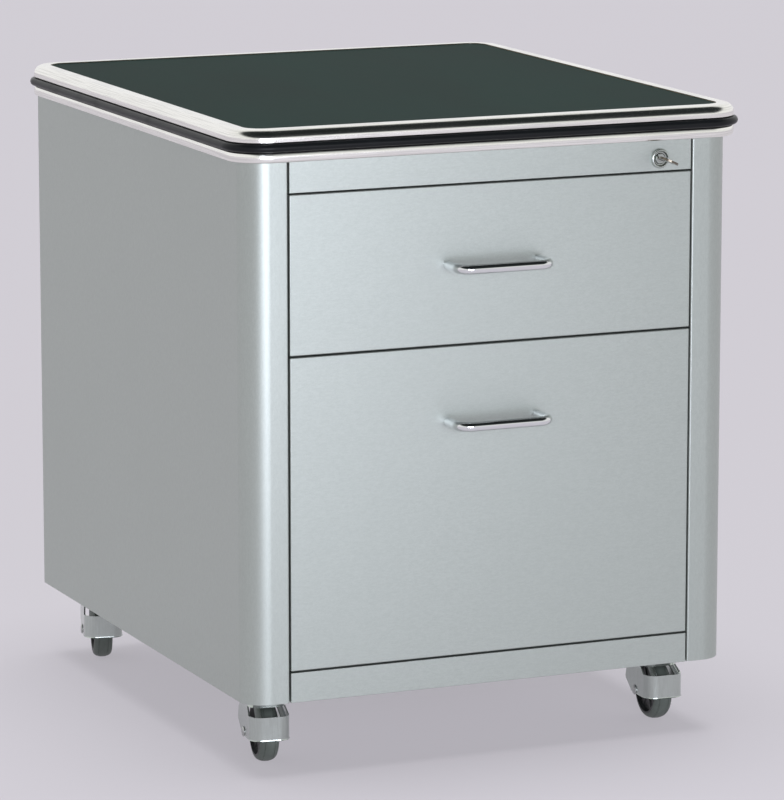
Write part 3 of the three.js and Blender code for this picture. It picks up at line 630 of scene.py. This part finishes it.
def edged(node, body, finish, slot, width, segments=2, degrees=40):
    """Gives a node's own shape its cut edges and its finish."""
    piece = soften(merged_copy(node), width, segments, degrees)
    return finished(piece, body, finish, slot, node)


def standing(place, axis):
    """The move that stands an upright piece at a point, along an axis."""
    turn = UP.rotation_difference(Vector(axis)).to_matrix().to_4x4()
    return Matrix.Translation(Vector(place)) @ turn


def side_shell(name, side, sizes):
    """The bent side: flat panel, rounded corner, stile and its return."""
    low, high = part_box(f"{name}_side_panel")
    outer, stile = (high.x, low.x) if side > 0 else (low.x, high.x)
    turn_back = 20 * MM
    draw(f"{name}_side_shell", [
        (outer, high.y, low.z), (outer, low.y, low.z), (stile, low.y, low.z),
        (stile, low.y + turn_back, low.z)], loop=False)
    pick("VERT", lambda p: abs(p.x - outer) < MM and abs(p.y - low.y) < MM)
    bend_points(sizes.corner, 20)
    pick("VERT", lambda p: abs(p.x - stile) < MM and abs(p.y - low.y) < MM)
    bend_points(sizes.fold, 4)
    bpy.ops.mesh.select_all(action="SELECT")
    pull(UP * (high.z - low.z))
    face_out(lambda p, n: abs(p.x - outer) < MM / 2 and n.x * side > 0)
    shell = close_edit()
    modify(shell, "SOLIDIFY", thickness=sizes.sheet, offset=-1, use_even_offset=True)
    soften(shell, sizes.edge, 2, 60)
    return finished(
        shell, "case", "steel_upright", "case_steel", f"{name}_side_panel")


def folded_front(name, low, high, sheet, fold, edge):
    """A shallow folded pan, open at the back, with rounded folds."""
    low, high = Vector(low), Vector(high)
    pan = box_piece(name, low, high)
    edit(pan)
    pick("FACE", lambda p, n: n.y > 0.9)
    bpy.ops.mesh.delete(type="FACE")
    pick("EDGE", lambda p, e: p.y < (low.y + high.y) / 2 + MM and (
        p.y < low.y + MM or abs(e.verts[0].co.y - e.verts[1].co.y) > MM))
    bpy.ops.mesh.bevel(offset=fold, segments=4, affect="EDGES")
    close_edit()
    modify(pan, "SOLIDIFY", thickness=sheet, offset=-1, use_even_offset=True)
    return soften(pan, edge, 2, 60)


class PEDESTAL_OT_case(bpy.types.Operator):
    """Bends the sides and gives the rails and the other case sheets their edges"""

    bl_idname = "pedestal.case"
    bl_label = "Case"

    def execute(self, context):
        sizes = context.scene.pedestal_sizes
        for name, side in SIDES.items():
            side_shell(name, side, sizes)
        for node, finish, slot in (
                ("lock_rail", "steel_across", "case_steel"),
                ("base_rail", "steel_across", "case_steel"),
                ("back_panel", "steel_across", "case_steel"),
                ("bottom_pan", "satin_coat", "inner_steel"),
                ("top_deck", "satin_coat", "inner_steel")):
            edged(node, "case", finish, slot, sizes.edge * 1.6, 3)
        for corner in CORNERS:
            edged(f"{corner}_slide_upright", "case", "zinc", "zinc_steel", sizes.edge)
        return {"FINISHED"}


def rounded_plate(name, low, high, radius, steps):
    """A flat plate with round corners in plan. It is left in edit mode."""
    plate = box_piece(name, low, high)
    edit(plate)
    pick("EDGE", lambda p, e: abs(e.verts[0].co.z - e.verts[1].co.z) > MM)
    bpy.ops.mesh.bevel(offset=radius, segments=steps, affect="EDGES")
    return plate


def carried_round(name, section, half_x, half_y, centre_y, radius, steps):
    """Carries an upright section of (outward, height) points round a rounded rectangle."""
    start = [Vector((half_x + out, centre_y, z)) for out, z in section]
    draw(name, start)
    straights = [2 * (half_x - radius), 2 * (half_y - radius)]
    corners = [(1, 1), (-1, 1), (-1, -1), (1, -1)]
    pull((0, half_y - radius, 0))
    for i, (sx, sy) in enumerate(corners):
        centre = (sx * (half_x - radius), centre_y + sy * (half_y - radius), 0)
        swing(centre, UP, 90, steps)
        run = straights[i % 2] if i < 3 else half_y - radius
        heading = [(-1, 0), (0, -1), (1, 0), (0, 1)][i]
        pull((heading[0] * run, heading[1] * run, 0))
    tidy()
    return close_edit()


class PEDESTAL_OT_worktop(bpy.types.Operator):
    """Lays the board and the dark sheet, and carries the moulding and bumper round them"""

    bl_idname = "pedestal.worktop"
    bl_label = "Worktop"

    def execute(self, context):
        sizes = context.scene.pedestal_sizes
        low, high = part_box("worktop_sheet")
        trim_low, trim_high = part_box("edge_moulding")
        _, side_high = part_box("right_side_panel")
        lip = side_high.x - high.x
        rounded_plate("top_sheet", low, high, sizes.corner - lip, 16)
        sheet = close_edit()
        soften(sheet, 0.3 * MM, 2, 60)
        finished(sheet, "case", "linoleum", "linoleum", "worktop_sheet")
        edged("worktop_board", "case", "board", "board", sizes.edge, 1, 60)
        self.trim(sizes, trim_low, trim_high, side_high, lip)
        return {"FINISHED"}

    def trim(self, sizes, low, high, side_high, lip):
        bumper_low, bumper_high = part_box("edge_bumper")
        half_x = side_high.x
        reach = high.x - half_x
        half_y = (high.y - low.y) / 2 - reach
        centre_y = (high.y + low.y) / 2
        back = -1.2 * MM
        seat = 4.3 * MM
        play = 0.3 * MM
        shelf = bumper_low.z - play
        roof = bumper_high.z + play
        bead = 2.2 * MM
        belly = 0.5 * MM
        round_top = 9 * MM
        heel = 1.4 * MM
        lip_edge = 0.7 * MM
        half_bead = (shelf - low.z) / 2
        section = [
            (back, low.z),
            *arc((reach - belly - bead, low.z + bead), bead, -90, -15, 5),
            (reach - belly * 0.25, low.z + half_bead * 0.7), (reach, low.z + half_bead),
            (reach - belly * 0.25, low.z + half_bead * 1.3),
            *arc((reach - belly - bead, shelf - bead), bead, 15, 90, 5),
            (seat, shelf), (seat, roof),
            *arc((reach - heel, roof + heel), heel, -90, 0, 5),
            *arc((reach - round_top, high.z - round_top), round_top, 8, 90, 14),
            (-lip + lip_edge / 2 + play, high.z),
            *arc((-lip + lip_edge / 2 + play, high.z - lip_edge / 2), lip_edge / 2, 100, 260, 5),
            (back, high.z - lip_edge),
        ]
        moulding = carried_round(
            "edge_trim", section, half_x, half_y, centre_y, sizes.corner, 20)
        finished(moulding, "case", "trim", "polished_trim", "edge_moulding", smooth=30)
        tip = bumper_high.x - half_x
        round_off = (bumper_high.z - bumper_low.z) / 2
        strip = [
            (seat + play, bumper_low.z),
            *arc((tip - round_off, bumper_low.z + round_off), round_off, -90, 90, 14),
            (seat + play, bumper_high.z),
        ]
        bumper = carried_round("bumper_strip", strip, half_x, half_y, centre_y, sizes.corner, 20)
        finished(bumper, "case", "vinyl", "black_vinyl", "edge_bumper", smooth=30)


class PEDESTAL_OT_drawers(bpy.types.Operator):
    """Folds the drawer fronts and finishes the trays, liners, catches and file rails"""

    bl_idname = "pedestal.drawers"
    bl_label = "Drawers"

    def execute(self, context):
        sizes = context.scene.pedestal_sizes
        for level in LEVELS:
            body = f"{level}_drawer"
            low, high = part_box(f"{level}_drawer_front")
            front = folded_front(
                f"{level}_front_skin", low, high, sizes.drawer_sheet, sizes.drawer_fold, sizes.edge)
            finished(front, body, "steel_across", "case_steel", f"{level}_drawer_front")
            for part in ("front_liner", "drawer_tray"):
                edged(f"{level}_{part}", body, "satin_coat", "inner_steel", sizes.edge)
            edged(f"{level}_lock_catch", body, "zinc", "zinc_steel", sizes.edge)
        for side in SIDES:
            edged(f"{side}_file_rail", "lower_drawer", "zinc", "zinc_steel", sizes.edge * 2, 3)
        return {"FINISHED"}


class PEDESTAL_OT_handles(bpy.types.Operator):
    """Bends the two wire handles and sets their screws behind the fronts"""

    bl_idname = "pedestal.handles"
    bl_label = "Handles"

    def execute(self, context):
        sizes = context.scene.pedestal_sizes
        for level in LEVELS:
            handle = self.rod(level, sizes)
            finished(handle, f"{level}_drawer", "chrome", "chrome", f"{level}_handle")
            self.screws(level, sizes)
        return {"FINISHED"}

    def screws(self, level, sizes):
        """The two screws that hold the rod, with washers, on the inside of the front."""
        low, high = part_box(f"{level}_handle")
        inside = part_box(f"{level}_front_liner")[1].y
        reach = high.x - sizes.rod / 2
        z = (low.z + high.z) / 2
        pieces = []
        for side in (-1, 1):
            washer = ring("washer", [(r, 0, h) for r, h in (
                (2.3 * MM, 0), (5 * MM, 0), (5 * MM, MM), (2.3 * MM, MM))], (0, 0, 0), UP, 32)
            placed(washer, standing((side * reach, inside, z), BACK))
            pieces += [washer, pan_screw(
                "screw", (side * reach, inside + MM, z), BACK, 8 * MM, 2.6 * MM, MM)]
        screws = joined(f"{level}_handle_screws", *pieces)
        finished(screws, f"{level}_drawer", "zinc", "zinc_steel")

    def rod(self, level, sizes):
        """A round rod: out from the front, round a bend, across, and back again."""
        low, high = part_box(f"{level}_handle")
        radius = sizes.rod / 2
        bend = sizes.rod_bend
        reach = high.x - radius
        root = high.y
        bar = low.y + radius
        z = (low.z + high.z) / 2
        rod = primitive(
            f"{level}_pull", "circle", (-reach, root, z), rotation=(math.radians(90), 0, 0),
            radius=radius, vertices=32, fill_type="NGON")
        edit(rod)
        pull((0, bar + bend - root, 0))
        swing((-reach + bend, bar + bend, z), UP, 90, 12)
        pull((2 * (reach - bend), 0, 0))
        swing((reach - bend, bar + bend, z), UP, 90, 12)
        pull((0, root - bar - bend, 0))
        tidy()
        return close_edit()


def pan_screw(name, centre, axis, head, height, slot_width):
    """A cross-head pan screw seen from its head, standing at a point along an axis."""
    radius = head / 2
    section = [(0, 0, 0), (radius, 0, 0), (radius, 0, height * 0.35),
               (radius * 0.82, 0, height * 0.8), (radius * 0.5, 0, height), (0, 0, height)]
    screw = turned(name, section, (0, 0, 0), UP, 24)
    bars = [box_piece("bar", (-a / 2, -b / 2, height * 0.45), (a / 2, b / 2, height * 2))
            for a, b in ((slot_width * 3.6, slot_width), (slot_width, slot_width * 3.6))]
    for bar in bars:
        modify(screw, "BOOLEAN", operation="DIFFERENCE", solver="EXACT", object=bar)
    drop(*bars)
    return placed(screw, standing(centre, axis))


def keyway(centre):
    """The place of the key and its slot: on the lock's axis, tilted."""
    return Matrix.Translation((centre.x, 0, centre.z)) @ Matrix.Rotation(KEY_TILT, 4, "Y")


class PEDESTAL_OT_lock(bpy.types.Operator):
    """Turns the lock's face and plug, cuts the key, and edges the cam and the bar"""

    bl_idname = "pedestal.lock"
    bl_label = "Lock"

    def execute(self, context):
        sizes = context.scene.pedestal_sizes
        low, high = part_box("lock_barrel")
        centre = Vector(((low.x + high.x) / 2, 0, (low.z + high.z) / 2))
        steps = sizes.round_steps
        self.barrel(low, high, centre, steps)
        self.plug(centre, steps)
        self.key(centre)
        for node, body in (("lock_cam", "lock_rotor"), ("lock_bar", "lock_bar")):
            edged(node, body, "zinc", "zinc_steel", sizes.edge)
        return {"FINISHED"}

    def barrel(self, low, high, centre, steps):
        face = (high.x - low.x) / 2
        front = low.y
        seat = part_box("lock_rail")[0].y - 0.15 * MM
        shank = 8 * MM
        bore = 5.4 * MM
        rim = 1.5 * MM
        dish = 1.6 * MM
        points = [
            (bore, front + dish), (bore + rim * 0.8, front + dish),
            (bore + rim * 1.2, front + 0.3 * MM), (face - rim, front),
            (face - rim * 0.45, front + 0.25 * MM), (face, front + 1.3 * MM), (face, seat),
            (shank, seat), (shank, high.y), (bore, high.y)]
        section = [(centre.x + r, y, centre.z) for r, y in points]
        barrel = ring("lock_face", section, (centre.x, 0, centre.z), BACK, steps)
        soften(barrel, 0.25 * MM, 2, 25)
        finished(barrel, "case", "nickel", "chrome", "lock_barrel", smooth=30)

    def plug(self, centre, steps):
        low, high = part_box("lock_plug")
        radius = 5 * MM
        front = low.y
        bevel = 0.7 * MM
        section = [(centre.x + r, y, centre.z) for r, y in (
            (0, front), (radius - bevel, front), (radius, front + bevel), (radius, high.y),
            (0, high.y))]
        plug = turned("lock_core", section, (centre.x, 0, centre.z), BACK, steps)
        half_wide, half_thick, deep = 3.8 * MM, 1.3 * MM, 18.5 * MM
        slot = box_piece(
            "slot", (-half_wide, front - MM, -half_thick), (half_wide, front + deep, half_thick))
        placed(slot, keyway(centre))
        modify(plug, "BOOLEAN", operation="DIFFERENCE", solver="EXACT", object=slot)
        drop(slot)
        finished(plug, "lock_rotor", "nickel", "chrome", "lock_plug", smooth=30)

    def key(self, centre):
        """A flat key: bow with a ring hole, shoulder, and a blade with cuts and a milled groove."""
        low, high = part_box("key")
        bow = 10 * MM
        blade = 3.5 * MM
        half_thick = 1 * MM
        middle = low.y + bow
        tip = high.y
        shoulder = middle + bow + 3 * MM
        cuts = [(blade - depth * MM, shoulder + along * MM) for along, depth in (
            (1.5, 0), (2.5, 1.4), (3.5, 1.4), (4.5, 0.4), (5.6, 2.0), (6.6, 2.0), (7.6, 0.7),
            (8.6, 1.6), (9.6, 1.6), (10.6, 0.5)) if shoulder + along * MM < tip - blade]
        neck = blade + 0.9 * MM
        root = middle + bow * 0.9
        point = 0.8 * MM
        outline = [
            (-blade, tip - blade), (-point, tip), (point, tip), (blade - point / 2, tip - blade),
            *reversed(cuts), (blade, shoulder), (neck, shoulder), (neck, root),
            *arc((0, middle), bow, 62, -242, 30),
            (-neck, root), (-neck, shoulder), (-blade, shoulder)]
        draw("flat_key_fine", [(x, y, -half_thick) for x, y in outline], face=True)
        pull((0, 0, 2 * half_thick))
        tidy()
        key = close_edit()
        hole = primitive(
            "hole", "cylinder", (0, middle - bow * 0.5, 0), radius=2 * MM, depth=8 * MM, vertices=32)
        groove = box_piece(
            "groove", (-0.7 * MM, shoulder - 2 * MM, half_thick * 0.45),
            (0.5 * MM, tip + MM, half_thick * 2))
        for tool in (hole, groove):
            modify(key, "BOOLEAN", operation="DIFFERENCE", solver="EXACT", object=tool)
        drop(hole, groove)
        soften(key, 0.25 * MM, 2, 40)
        placed(key, keyway(centre))
        finished(key, "key", "key_nickel", "chrome", "key")


class PEDESTAL_OT_slides(bpy.types.Operator):
    """Gives the slide members their edges and sets the balls between them"""

    bl_idname = "pedestal.slides"
    bl_label = "Slides"

    def execute(self, context):
        sizes = context.scene.pedestal_sizes
        bodies = {"outer": "case", "middle": "{}_slide_members", "inner": "{}_drawer"}
        for level in LEVELS:
            for side in SIDES:
                for member, body in bodies.items():
                    edged(f"{level}_{side}_slide_{member}", body.format(level), "zinc",
                          "zinc_steel", sizes.edge, 1)
                self.balls(level, side, sizes)
        return {"FINISHED"}

    def balls(self, level, side, sizes):
        """Four rows of balls, each in its strip cage, in the races above and below the members."""
        low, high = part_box(f"{level}_{side}_slide_middle")
        inner_low, inner_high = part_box(f"{level}_{side}_slide_inner")
        across = (low.x + high.x) / 2
        race = 2 * MM
        pitch = 9 * MM
        count = 12
        start = low.y + 12 * MM
        half_strip = 2.2 * MM
        half_sheet = 0.25 * MM
        ball = primitive(
            "ball", "uv_sphere", (across, start, 0), radius=sizes.ball / 2, segments=8, ring_count=6)
        modify(ball, "ARRAY", count=count, use_relative_offset=False, use_constant_offset=True,
               constant_offset_displace=(0, pitch, 0))
        strip = box_piece(
            "strip", (across - half_strip, start - pitch, -half_sheet),
            (across + half_strip, start + count * pitch, half_sheet))
        soften(strip, 0.15 * MM, 1, 60)
        row = joined("row", ball, strip)
        heights = (low.z - race / 2, high.z + race / 2,
                   inner_low.z - race / 2, inner_high.z + race / 2)
        rows = [copy_of(row, "row", Matrix.Translation((0, 0, z))) for z in heights]
        drop(row)
        balls = joined(f"{level}_{side}_slide_balls", *rows)
        finished(balls, f"{level}_slide_members", "chrome", "chrome", weighted=False)


def caster_frame(corner):
    """The place of a caster's axle middle, with its turn about the kingpin."""
    spin = next(j for j in frame["joints"] if j["name"] == f"{corner}_wheel_spin")
    axis = Vector(spin["axis"])
    turn = math.atan2(axis.y, axis.x)
    return Matrix.Translation(Vector(spin["pos_m"])) @ Matrix.Rotation(turn, 4, "Z")


class PEDESTAL_OT_casters(bpy.types.Operator):
    """Models one caster's hood, axle and wheel and copies them to the four corners"""

    bl_idname = "pedestal.casters"
    bl_label = "Casters"

    def execute(self, context):
        sizes = context.scene.pedestal_sizes
        steps = sizes.round_steps
        wheel_low, wheel_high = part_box("front_left_caster_wheel")
        radius = (wheel_high.z - wheel_low.z) / 2
        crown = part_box("front_left_caster_fork")[1].z
        patterns = {
            "hood": self.hood(sizes, radius, crown - radius),
            "axle_pin": self.axle(steps),
            "tyre": self.tyre(radius, steps),
            "wheel_disc": self.disc(radius, steps),
        }
        for corner in CORNERS:
            self.set_up(corner, patterns, sizes)
        drop(*patterns.values())
        return {"FINISHED"}

    def set_up(self, corner, patterns, sizes):
        place = caster_frame(corner)
        riders = {
            "hood": ("swivel", "nickel", "chrome", f"{corner}_caster_fork"),
            "axle_pin": ("swivel", "zinc", "zinc_steel", f"{corner}_caster_axle"),
            "tyre": ("wheel", "tyre", "tyre", f"{corner}_caster_wheel"),
            "wheel_disc": ("wheel", "disc", "tyre", f"{corner}_caster_wheel"),
        }
        for label, (body, finish, slot, node) in riders.items():
            piece = copy_of(patterns[label], f"{corner}_{label}", place)
            finished(piece, f"{corner}_{body}", finish, slot, node)
        low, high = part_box(f"{corner}_caster_plate")
        middle = (low + high) / 2
        under = high.z - PLATE_SHEET
        screws = joined(f"{corner}_plate_screws", *(
            pan_screw("screw", (middle.x + a, middle.y + b, under), -UP, 8 * MM, 2.4 * MM, MM)
            for a in (-PLATE_SCREWS, PLATE_SCREWS) for b in (-PLATE_SCREWS, PLATE_SCREWS)))
        finished(screws, "case", "zinc", "zinc_steel")
        edged(f"{corner}_caster_plate", "case", "zinc", "zinc_steel", sizes.edge)

    def hood(self, sizes, radius, crown):
        """Sheet bent round the wheel's front, with a window between two straps, cut to its outline."""
        half = sizes.hood_width / 2
        front = -radius - 3 * MM
        back = 26 * MM
        skirt = -3 * MM
        shoulder = skirt + 23.5 * MM
        brow = shoulder + 7 * MM
        lean = 12 * MM
        hem = 1.5 * MM
        draw("hood_pattern", [
            (half, back, skirt + hem), (half, front, skirt + hem), (-half, front, skirt + hem),
            (-half, back, skirt + hem)], loop=False)
        pick("VERT", lambda p: p.y < front + MM)
        bend_points(sizes.hood_corner, 12)
        bpy.ops.mesh.select_all(action="SELECT")
        pull((0, 0, -hem))
        bpy.ops.transform.resize(value=(1.025, 1.02, 1), center_override=(0, 0, skirt))
        pick("EDGE", lambda p, e: p.z > skirt + hem - MM / 4)
        pull(UP * (shoulder - skirt - hem))
        bottom = shoulder
        for top, squeeze, back_off in ((brow, 0.93, lean), (crown, 0.86, lean / 4)):
            pull(UP * (top - bottom))
            bpy.ops.transform.resize(value=(squeeze, 1, 1), center_override=(0, 0, top))
            pick("VERT", lambda p: p.z > top - MM / 2 and p.y < back - 8 * MM)
            bpy.ops.transform.translate(value=(0, back_off, 0))
            pick("EDGE", lambda p, e: p.z > top - MM / 2)
            bottom = top
        bpy.ops.mesh.edge_face_add()
        strap_in, strap_out = 9.5 * MM, 9.5 * MM + sizes.hood_strap
        pick("FACE", lambda p, n: shoulder < p.z < brow - MM / 4 and p.y < front + 22 * MM
             and (abs(p.x) < strap_in or abs(p.x) > strap_out))
        bpy.ops.mesh.delete(type="FACE")
        face_out(lambda p, n: abs(p.x) < MM and 0 < p.z < shoulder and n.y < -0.9)
        hood = close_edit()
        modify(hood, "SOLIDIFY", thickness=sizes.hood_sheet, offset=-1, use_even_offset=True)
        clear = 5 * MM
        ahead = front - clear
        trim_line = skirt + 0.1 * MM
        boss = -6.5 * MM
        outline = [
            (ahead, skirt - MM), (ahead, trim_line), (-14 * MM, trim_line), (-7 * MM, boss),
            (4 * MM, boss), (9 * MM, skirt), (24 * MM, 7 * MM), (25 * MM, 10 * MM),
            (22 * MM, 20 * MM), (16 * MM, crown + MM), (ahead, crown + MM)]
        draw("outline", [(-half - clear, y, z) for y, z in outline], face=True)
        pull((2 * (half + clear), 0, 0))
        tidy()
        cutter = close_edit()
        modify(hood, "BOOLEAN", operation="INTERSECT", solver="EXACT", object=cutter)
        drop(cutter)
        return soften(hood, 0.3 * MM, 2, 40)

    def axle(self, steps):
        shoulder = 20.1 * MM
        head = 5 * MM
        pin = 2.9 * MM
        end = shoulder + 1.7 * MM
        half_section = [(pin, shoulder), (head, shoulder), (head, shoulder + 0.6 * MM),
                        (head * 0.75, end - 0.2 * MM), (head * 0.4, end), (0, end)]
        section = [(-x, 0, r) for r, x in reversed(half_section)]
        section += [(x, 0, r) for r, x in half_section]
        return turned("axle_pattern", section, (0, 0, 0), (1, 0, 0), steps // 2)

    def tyre(self, radius, steps):
        """The tread: round from edge to edge, with two fine grooves beside its crown."""
        half = 9.5 * MM
        drop_off = 5 * MM
        groove = 0.5 * MM
        inner = radius - 7 * MM
        outer = [(inner, half)]
        for turn in (0, 10, 20, 30, 40, 50, 56, 60, 64, 72, 81):
            depth = groove if turn == 60 else 0
            outer.append((radius - drop_off * (1 - math.sin(math.radians(turn))) - depth,
                          half * math.cos(math.radians(turn))))
        section = [(x, 0, r) for r, x in outer]
        section += [(-x, 0, r) for r, x in reversed(outer)]
        return ring("tyre_pattern", section, (0, 0, 0), (1, 0, 0), steps)

    def disc(self, radius, steps):
        """The wheel's centre: rim, sunk web with six shallow pockets and a long hub."""
        rim = radius - 5.2 * MM
        hub = 8 * MM
        hub_end = 12 * MM
        bore = 3.3 * MM
        half = 9.7 * MM
        web = 6.6 * MM
        well = rim - 3 * MM
        half_section = [
            (bore, hub_end), (hub - MM, hub_end), (hub, hub_end - MM), (hub + 0.8 * MM, web),
            (well, web), (well + 1.2 * MM, half), (rim, half)]
        section = [(-x, 0, r) for r, x in half_section]
        section += [(x, 0, r) for r, x in reversed(half_section)]
        disc = ring("disc_pattern", section, (0, 0, 0), (1, 0, 0), steps)
        edit(disc)
        mid = (hub + well) / 2
        pocket = math.radians(60)
        pick("FACE", lambda p, n: abs(n.x) > 0.99 and abs(math.hypot(p.y, p.z) - mid) < 4 * MM
             and (math.atan2(p.z, p.y) % pocket) > math.radians(14))
        bpy.ops.mesh.inset(thickness=0.8 * MM, depth=-1.2 * MM, use_individual=False)
        close_edit()
        return soften(disc, 0.3 * MM, 2, 35)


class PEDESTAL_OT_stage(bpy.types.Operator):
    """Lays the floor, sets the lights round the pedestal and aims the camera"""

    bl_idname = "pedestal.stage"
    bl_label = "Stage"

    def execute(self, context):
        stage = context.scene.pedestal_stage
        self.floor(stage)
        self.world(context.scene, stage)
        self.lights(stage)
        self.camera(context.scene, stage)
        return {"FINISHED"}

    def floor(self, stage):
        floor = primitive(
            "studio_floor", "circle", (0, 0, 0), radius=60, vertices=96, fill_type="NGON")
        finish = Finish("studio_floor", Specular_IOR_Level=0.0, Emission_Strength=stage.glow)
        rgb = tuple(stage.floor)
        drift = finish.noise(0.35, 2)
        tone = finish.mix(drift, shade(rgb, 0.99), shade(rgb, 1.01))
        floor.data.materials.append(finish.set(
            Base_Color=finish.mix(0.65, tone, (0, 0, 0)), Emission_Color=tone,
            Roughness=0.85 + drift * 0.05))

    def world(self, scene, stage):
        """Bright all round at the horizon, and darker high up in front."""
        world = bpy.data.worlds.new("studio")
        world.use_nodes = True
        scene.world = world
        tree = world.node_tree
        background = tree.nodes["Background"]
        coords = tree.nodes.new("ShaderNodeTexCoord")
        facing = tree.nodes.new("ShaderNodeVectorMath")
        facing.operation = "DOT_PRODUCT"
        facing.inputs[1].default_value = Vector((0, -0.383, 0.924))
        ramp = tree.nodes.new("ShaderNodeValToRGB")
        ramp_stops(ramp.color_ramp, [
            (0.5, (0.95, 0.95, 0.96, 1)), (0.77, (0.92, 0.93, 0.91, 1)),
            (0.84, (0.03, 0.035, 0.035, 1)), (1.0, (0.012, 0.015, 0.015, 1))])
        remap = tree.nodes.new("ShaderNodeMapRange")
        remap.inputs["From Min"].default_value = -1
        tree.links.new(coords.outputs["Generated"], facing.inputs[0])
        tree.links.new(facing.outputs["Value"], remap.inputs["Value"])
        tree.links.new(remap.outputs["Result"], ramp.inputs["Fac"])
        tree.links.new(ramp.outputs["Color"], background.inputs["Color"])
        background.inputs["Strength"].default_value = stage.ambient
        scene.view_settings.view_transform = "Standard"

    def lights(self, stage):
        aim = Vector((0, 0, 0.35))
        sun = self.lamp("overhead", "SUN", (0.05, 0.1, 3), aim)
        sun.data.energy = stage.top
        sun.data.angle = math.radians(38)
        sun.visible_glossy = False
        for name, place, width, height, power in (
                ("front_box", (-0.05, -2.5, 0.45), 0.9, 0.9, stage.key),
                ("left_box", (-0.8, -2.7, 0.7), 0.6, 1.1, stage.key * 0.7)):
            box = self.lamp(name, "AREA", place, aim)
            box.data.shape = "RECTANGLE"
            box.data.size, box.data.size_y = width, height
            box.data.energy = power
            box.data.color = (0.93, 0.97, 1.1)

    def lamp(self, name, kind, place, aim):
        lamp = bpy.data.objects.new(name, bpy.data.lights.new(name, kind))
        bpy.context.scene.collection.objects.link(lamp)
        lamp.location = place
        lamp.rotation_euler = (aim - Vector(place)).to_track_quat("-Z", "Y").to_euler()
        return lamp

    def camera(self, scene, stage):
        camera = bpy.data.objects.new("camera", bpy.data.cameras.new("camera"))
        scene.collection.objects.link(camera)
        camera.data.lens = stage.lens
        camera.data.sensor_width = 36
        camera.data.clip_end = 200
        camera.location = stage.eye
        level, turn = math.cos(stage.pitch), stage.yaw
        forward = Vector((math.sin(turn) * level, math.cos(turn) * level, -math.sin(stage.pitch)))
        camera.rotation_euler = forward.to_track_quat("-Z", "Y").to_euler()
        scene.camera = camera


class PEDESTAL_PT_panel(bpy.types.Panel):
    """Lists the steps that build the pedestal"""

    bl_label = "Pedestal"
    bl_idname = "PEDESTAL_PT_panel"
    bl_space_type = "VIEW_3D"
    bl_region_type = "UI"
    bl_category = "Pedestal"

    def draw(self, context):
        for operator in OPERATORS:
            self.layout.operator(operator.bl_idname)
        for group in GROUPS:
            box = self.layout.box()
            settings = getattr(context.scene, group)
            for name in settings.__annotations__:
                box.prop(settings, name)


GROUPS = {
    "pedestal_sizes": PedestalSizes,
    "pedestal_colours": PedestalColours,
    "pedestal_stage": PedestalStage,
}
OPERATORS = (
    PEDESTAL_OT_case,
    PEDESTAL_OT_worktop,
    PEDESTAL_OT_drawers,
    PEDESTAL_OT_handles,
    PEDESTAL_OT_lock,
    PEDESTAL_OT_slides,
    PEDESTAL_OT_casters,
    PEDESTAL_OT_stage,
)
CLASSES = (*GROUPS.values(), *OPERATORS, PEDESTAL_PT_panel)


def register():
    for cls in CLASSES:
        bpy.utils.register_class(cls)
    for name, group in GROUPS.items():
        setattr(bpy.types.Scene, name, bpy.props.PointerProperty(type=group))


def unregister():
    for name in GROUPS:
        delattr(bpy.types.Scene, name)
    for cls in reversed(CLASSES):
        bpy.utils.unregister_class(cls)


def main():
    register()
    make_finishes(bpy.context.scene.pedestal_colours)
    for operator in OPERATORS:
        group, name = operator.bl_idname.split(".")
        getattr(getattr(bpy.ops, group), name)()
    deselect()


if __name__ == "__main__":
    main()
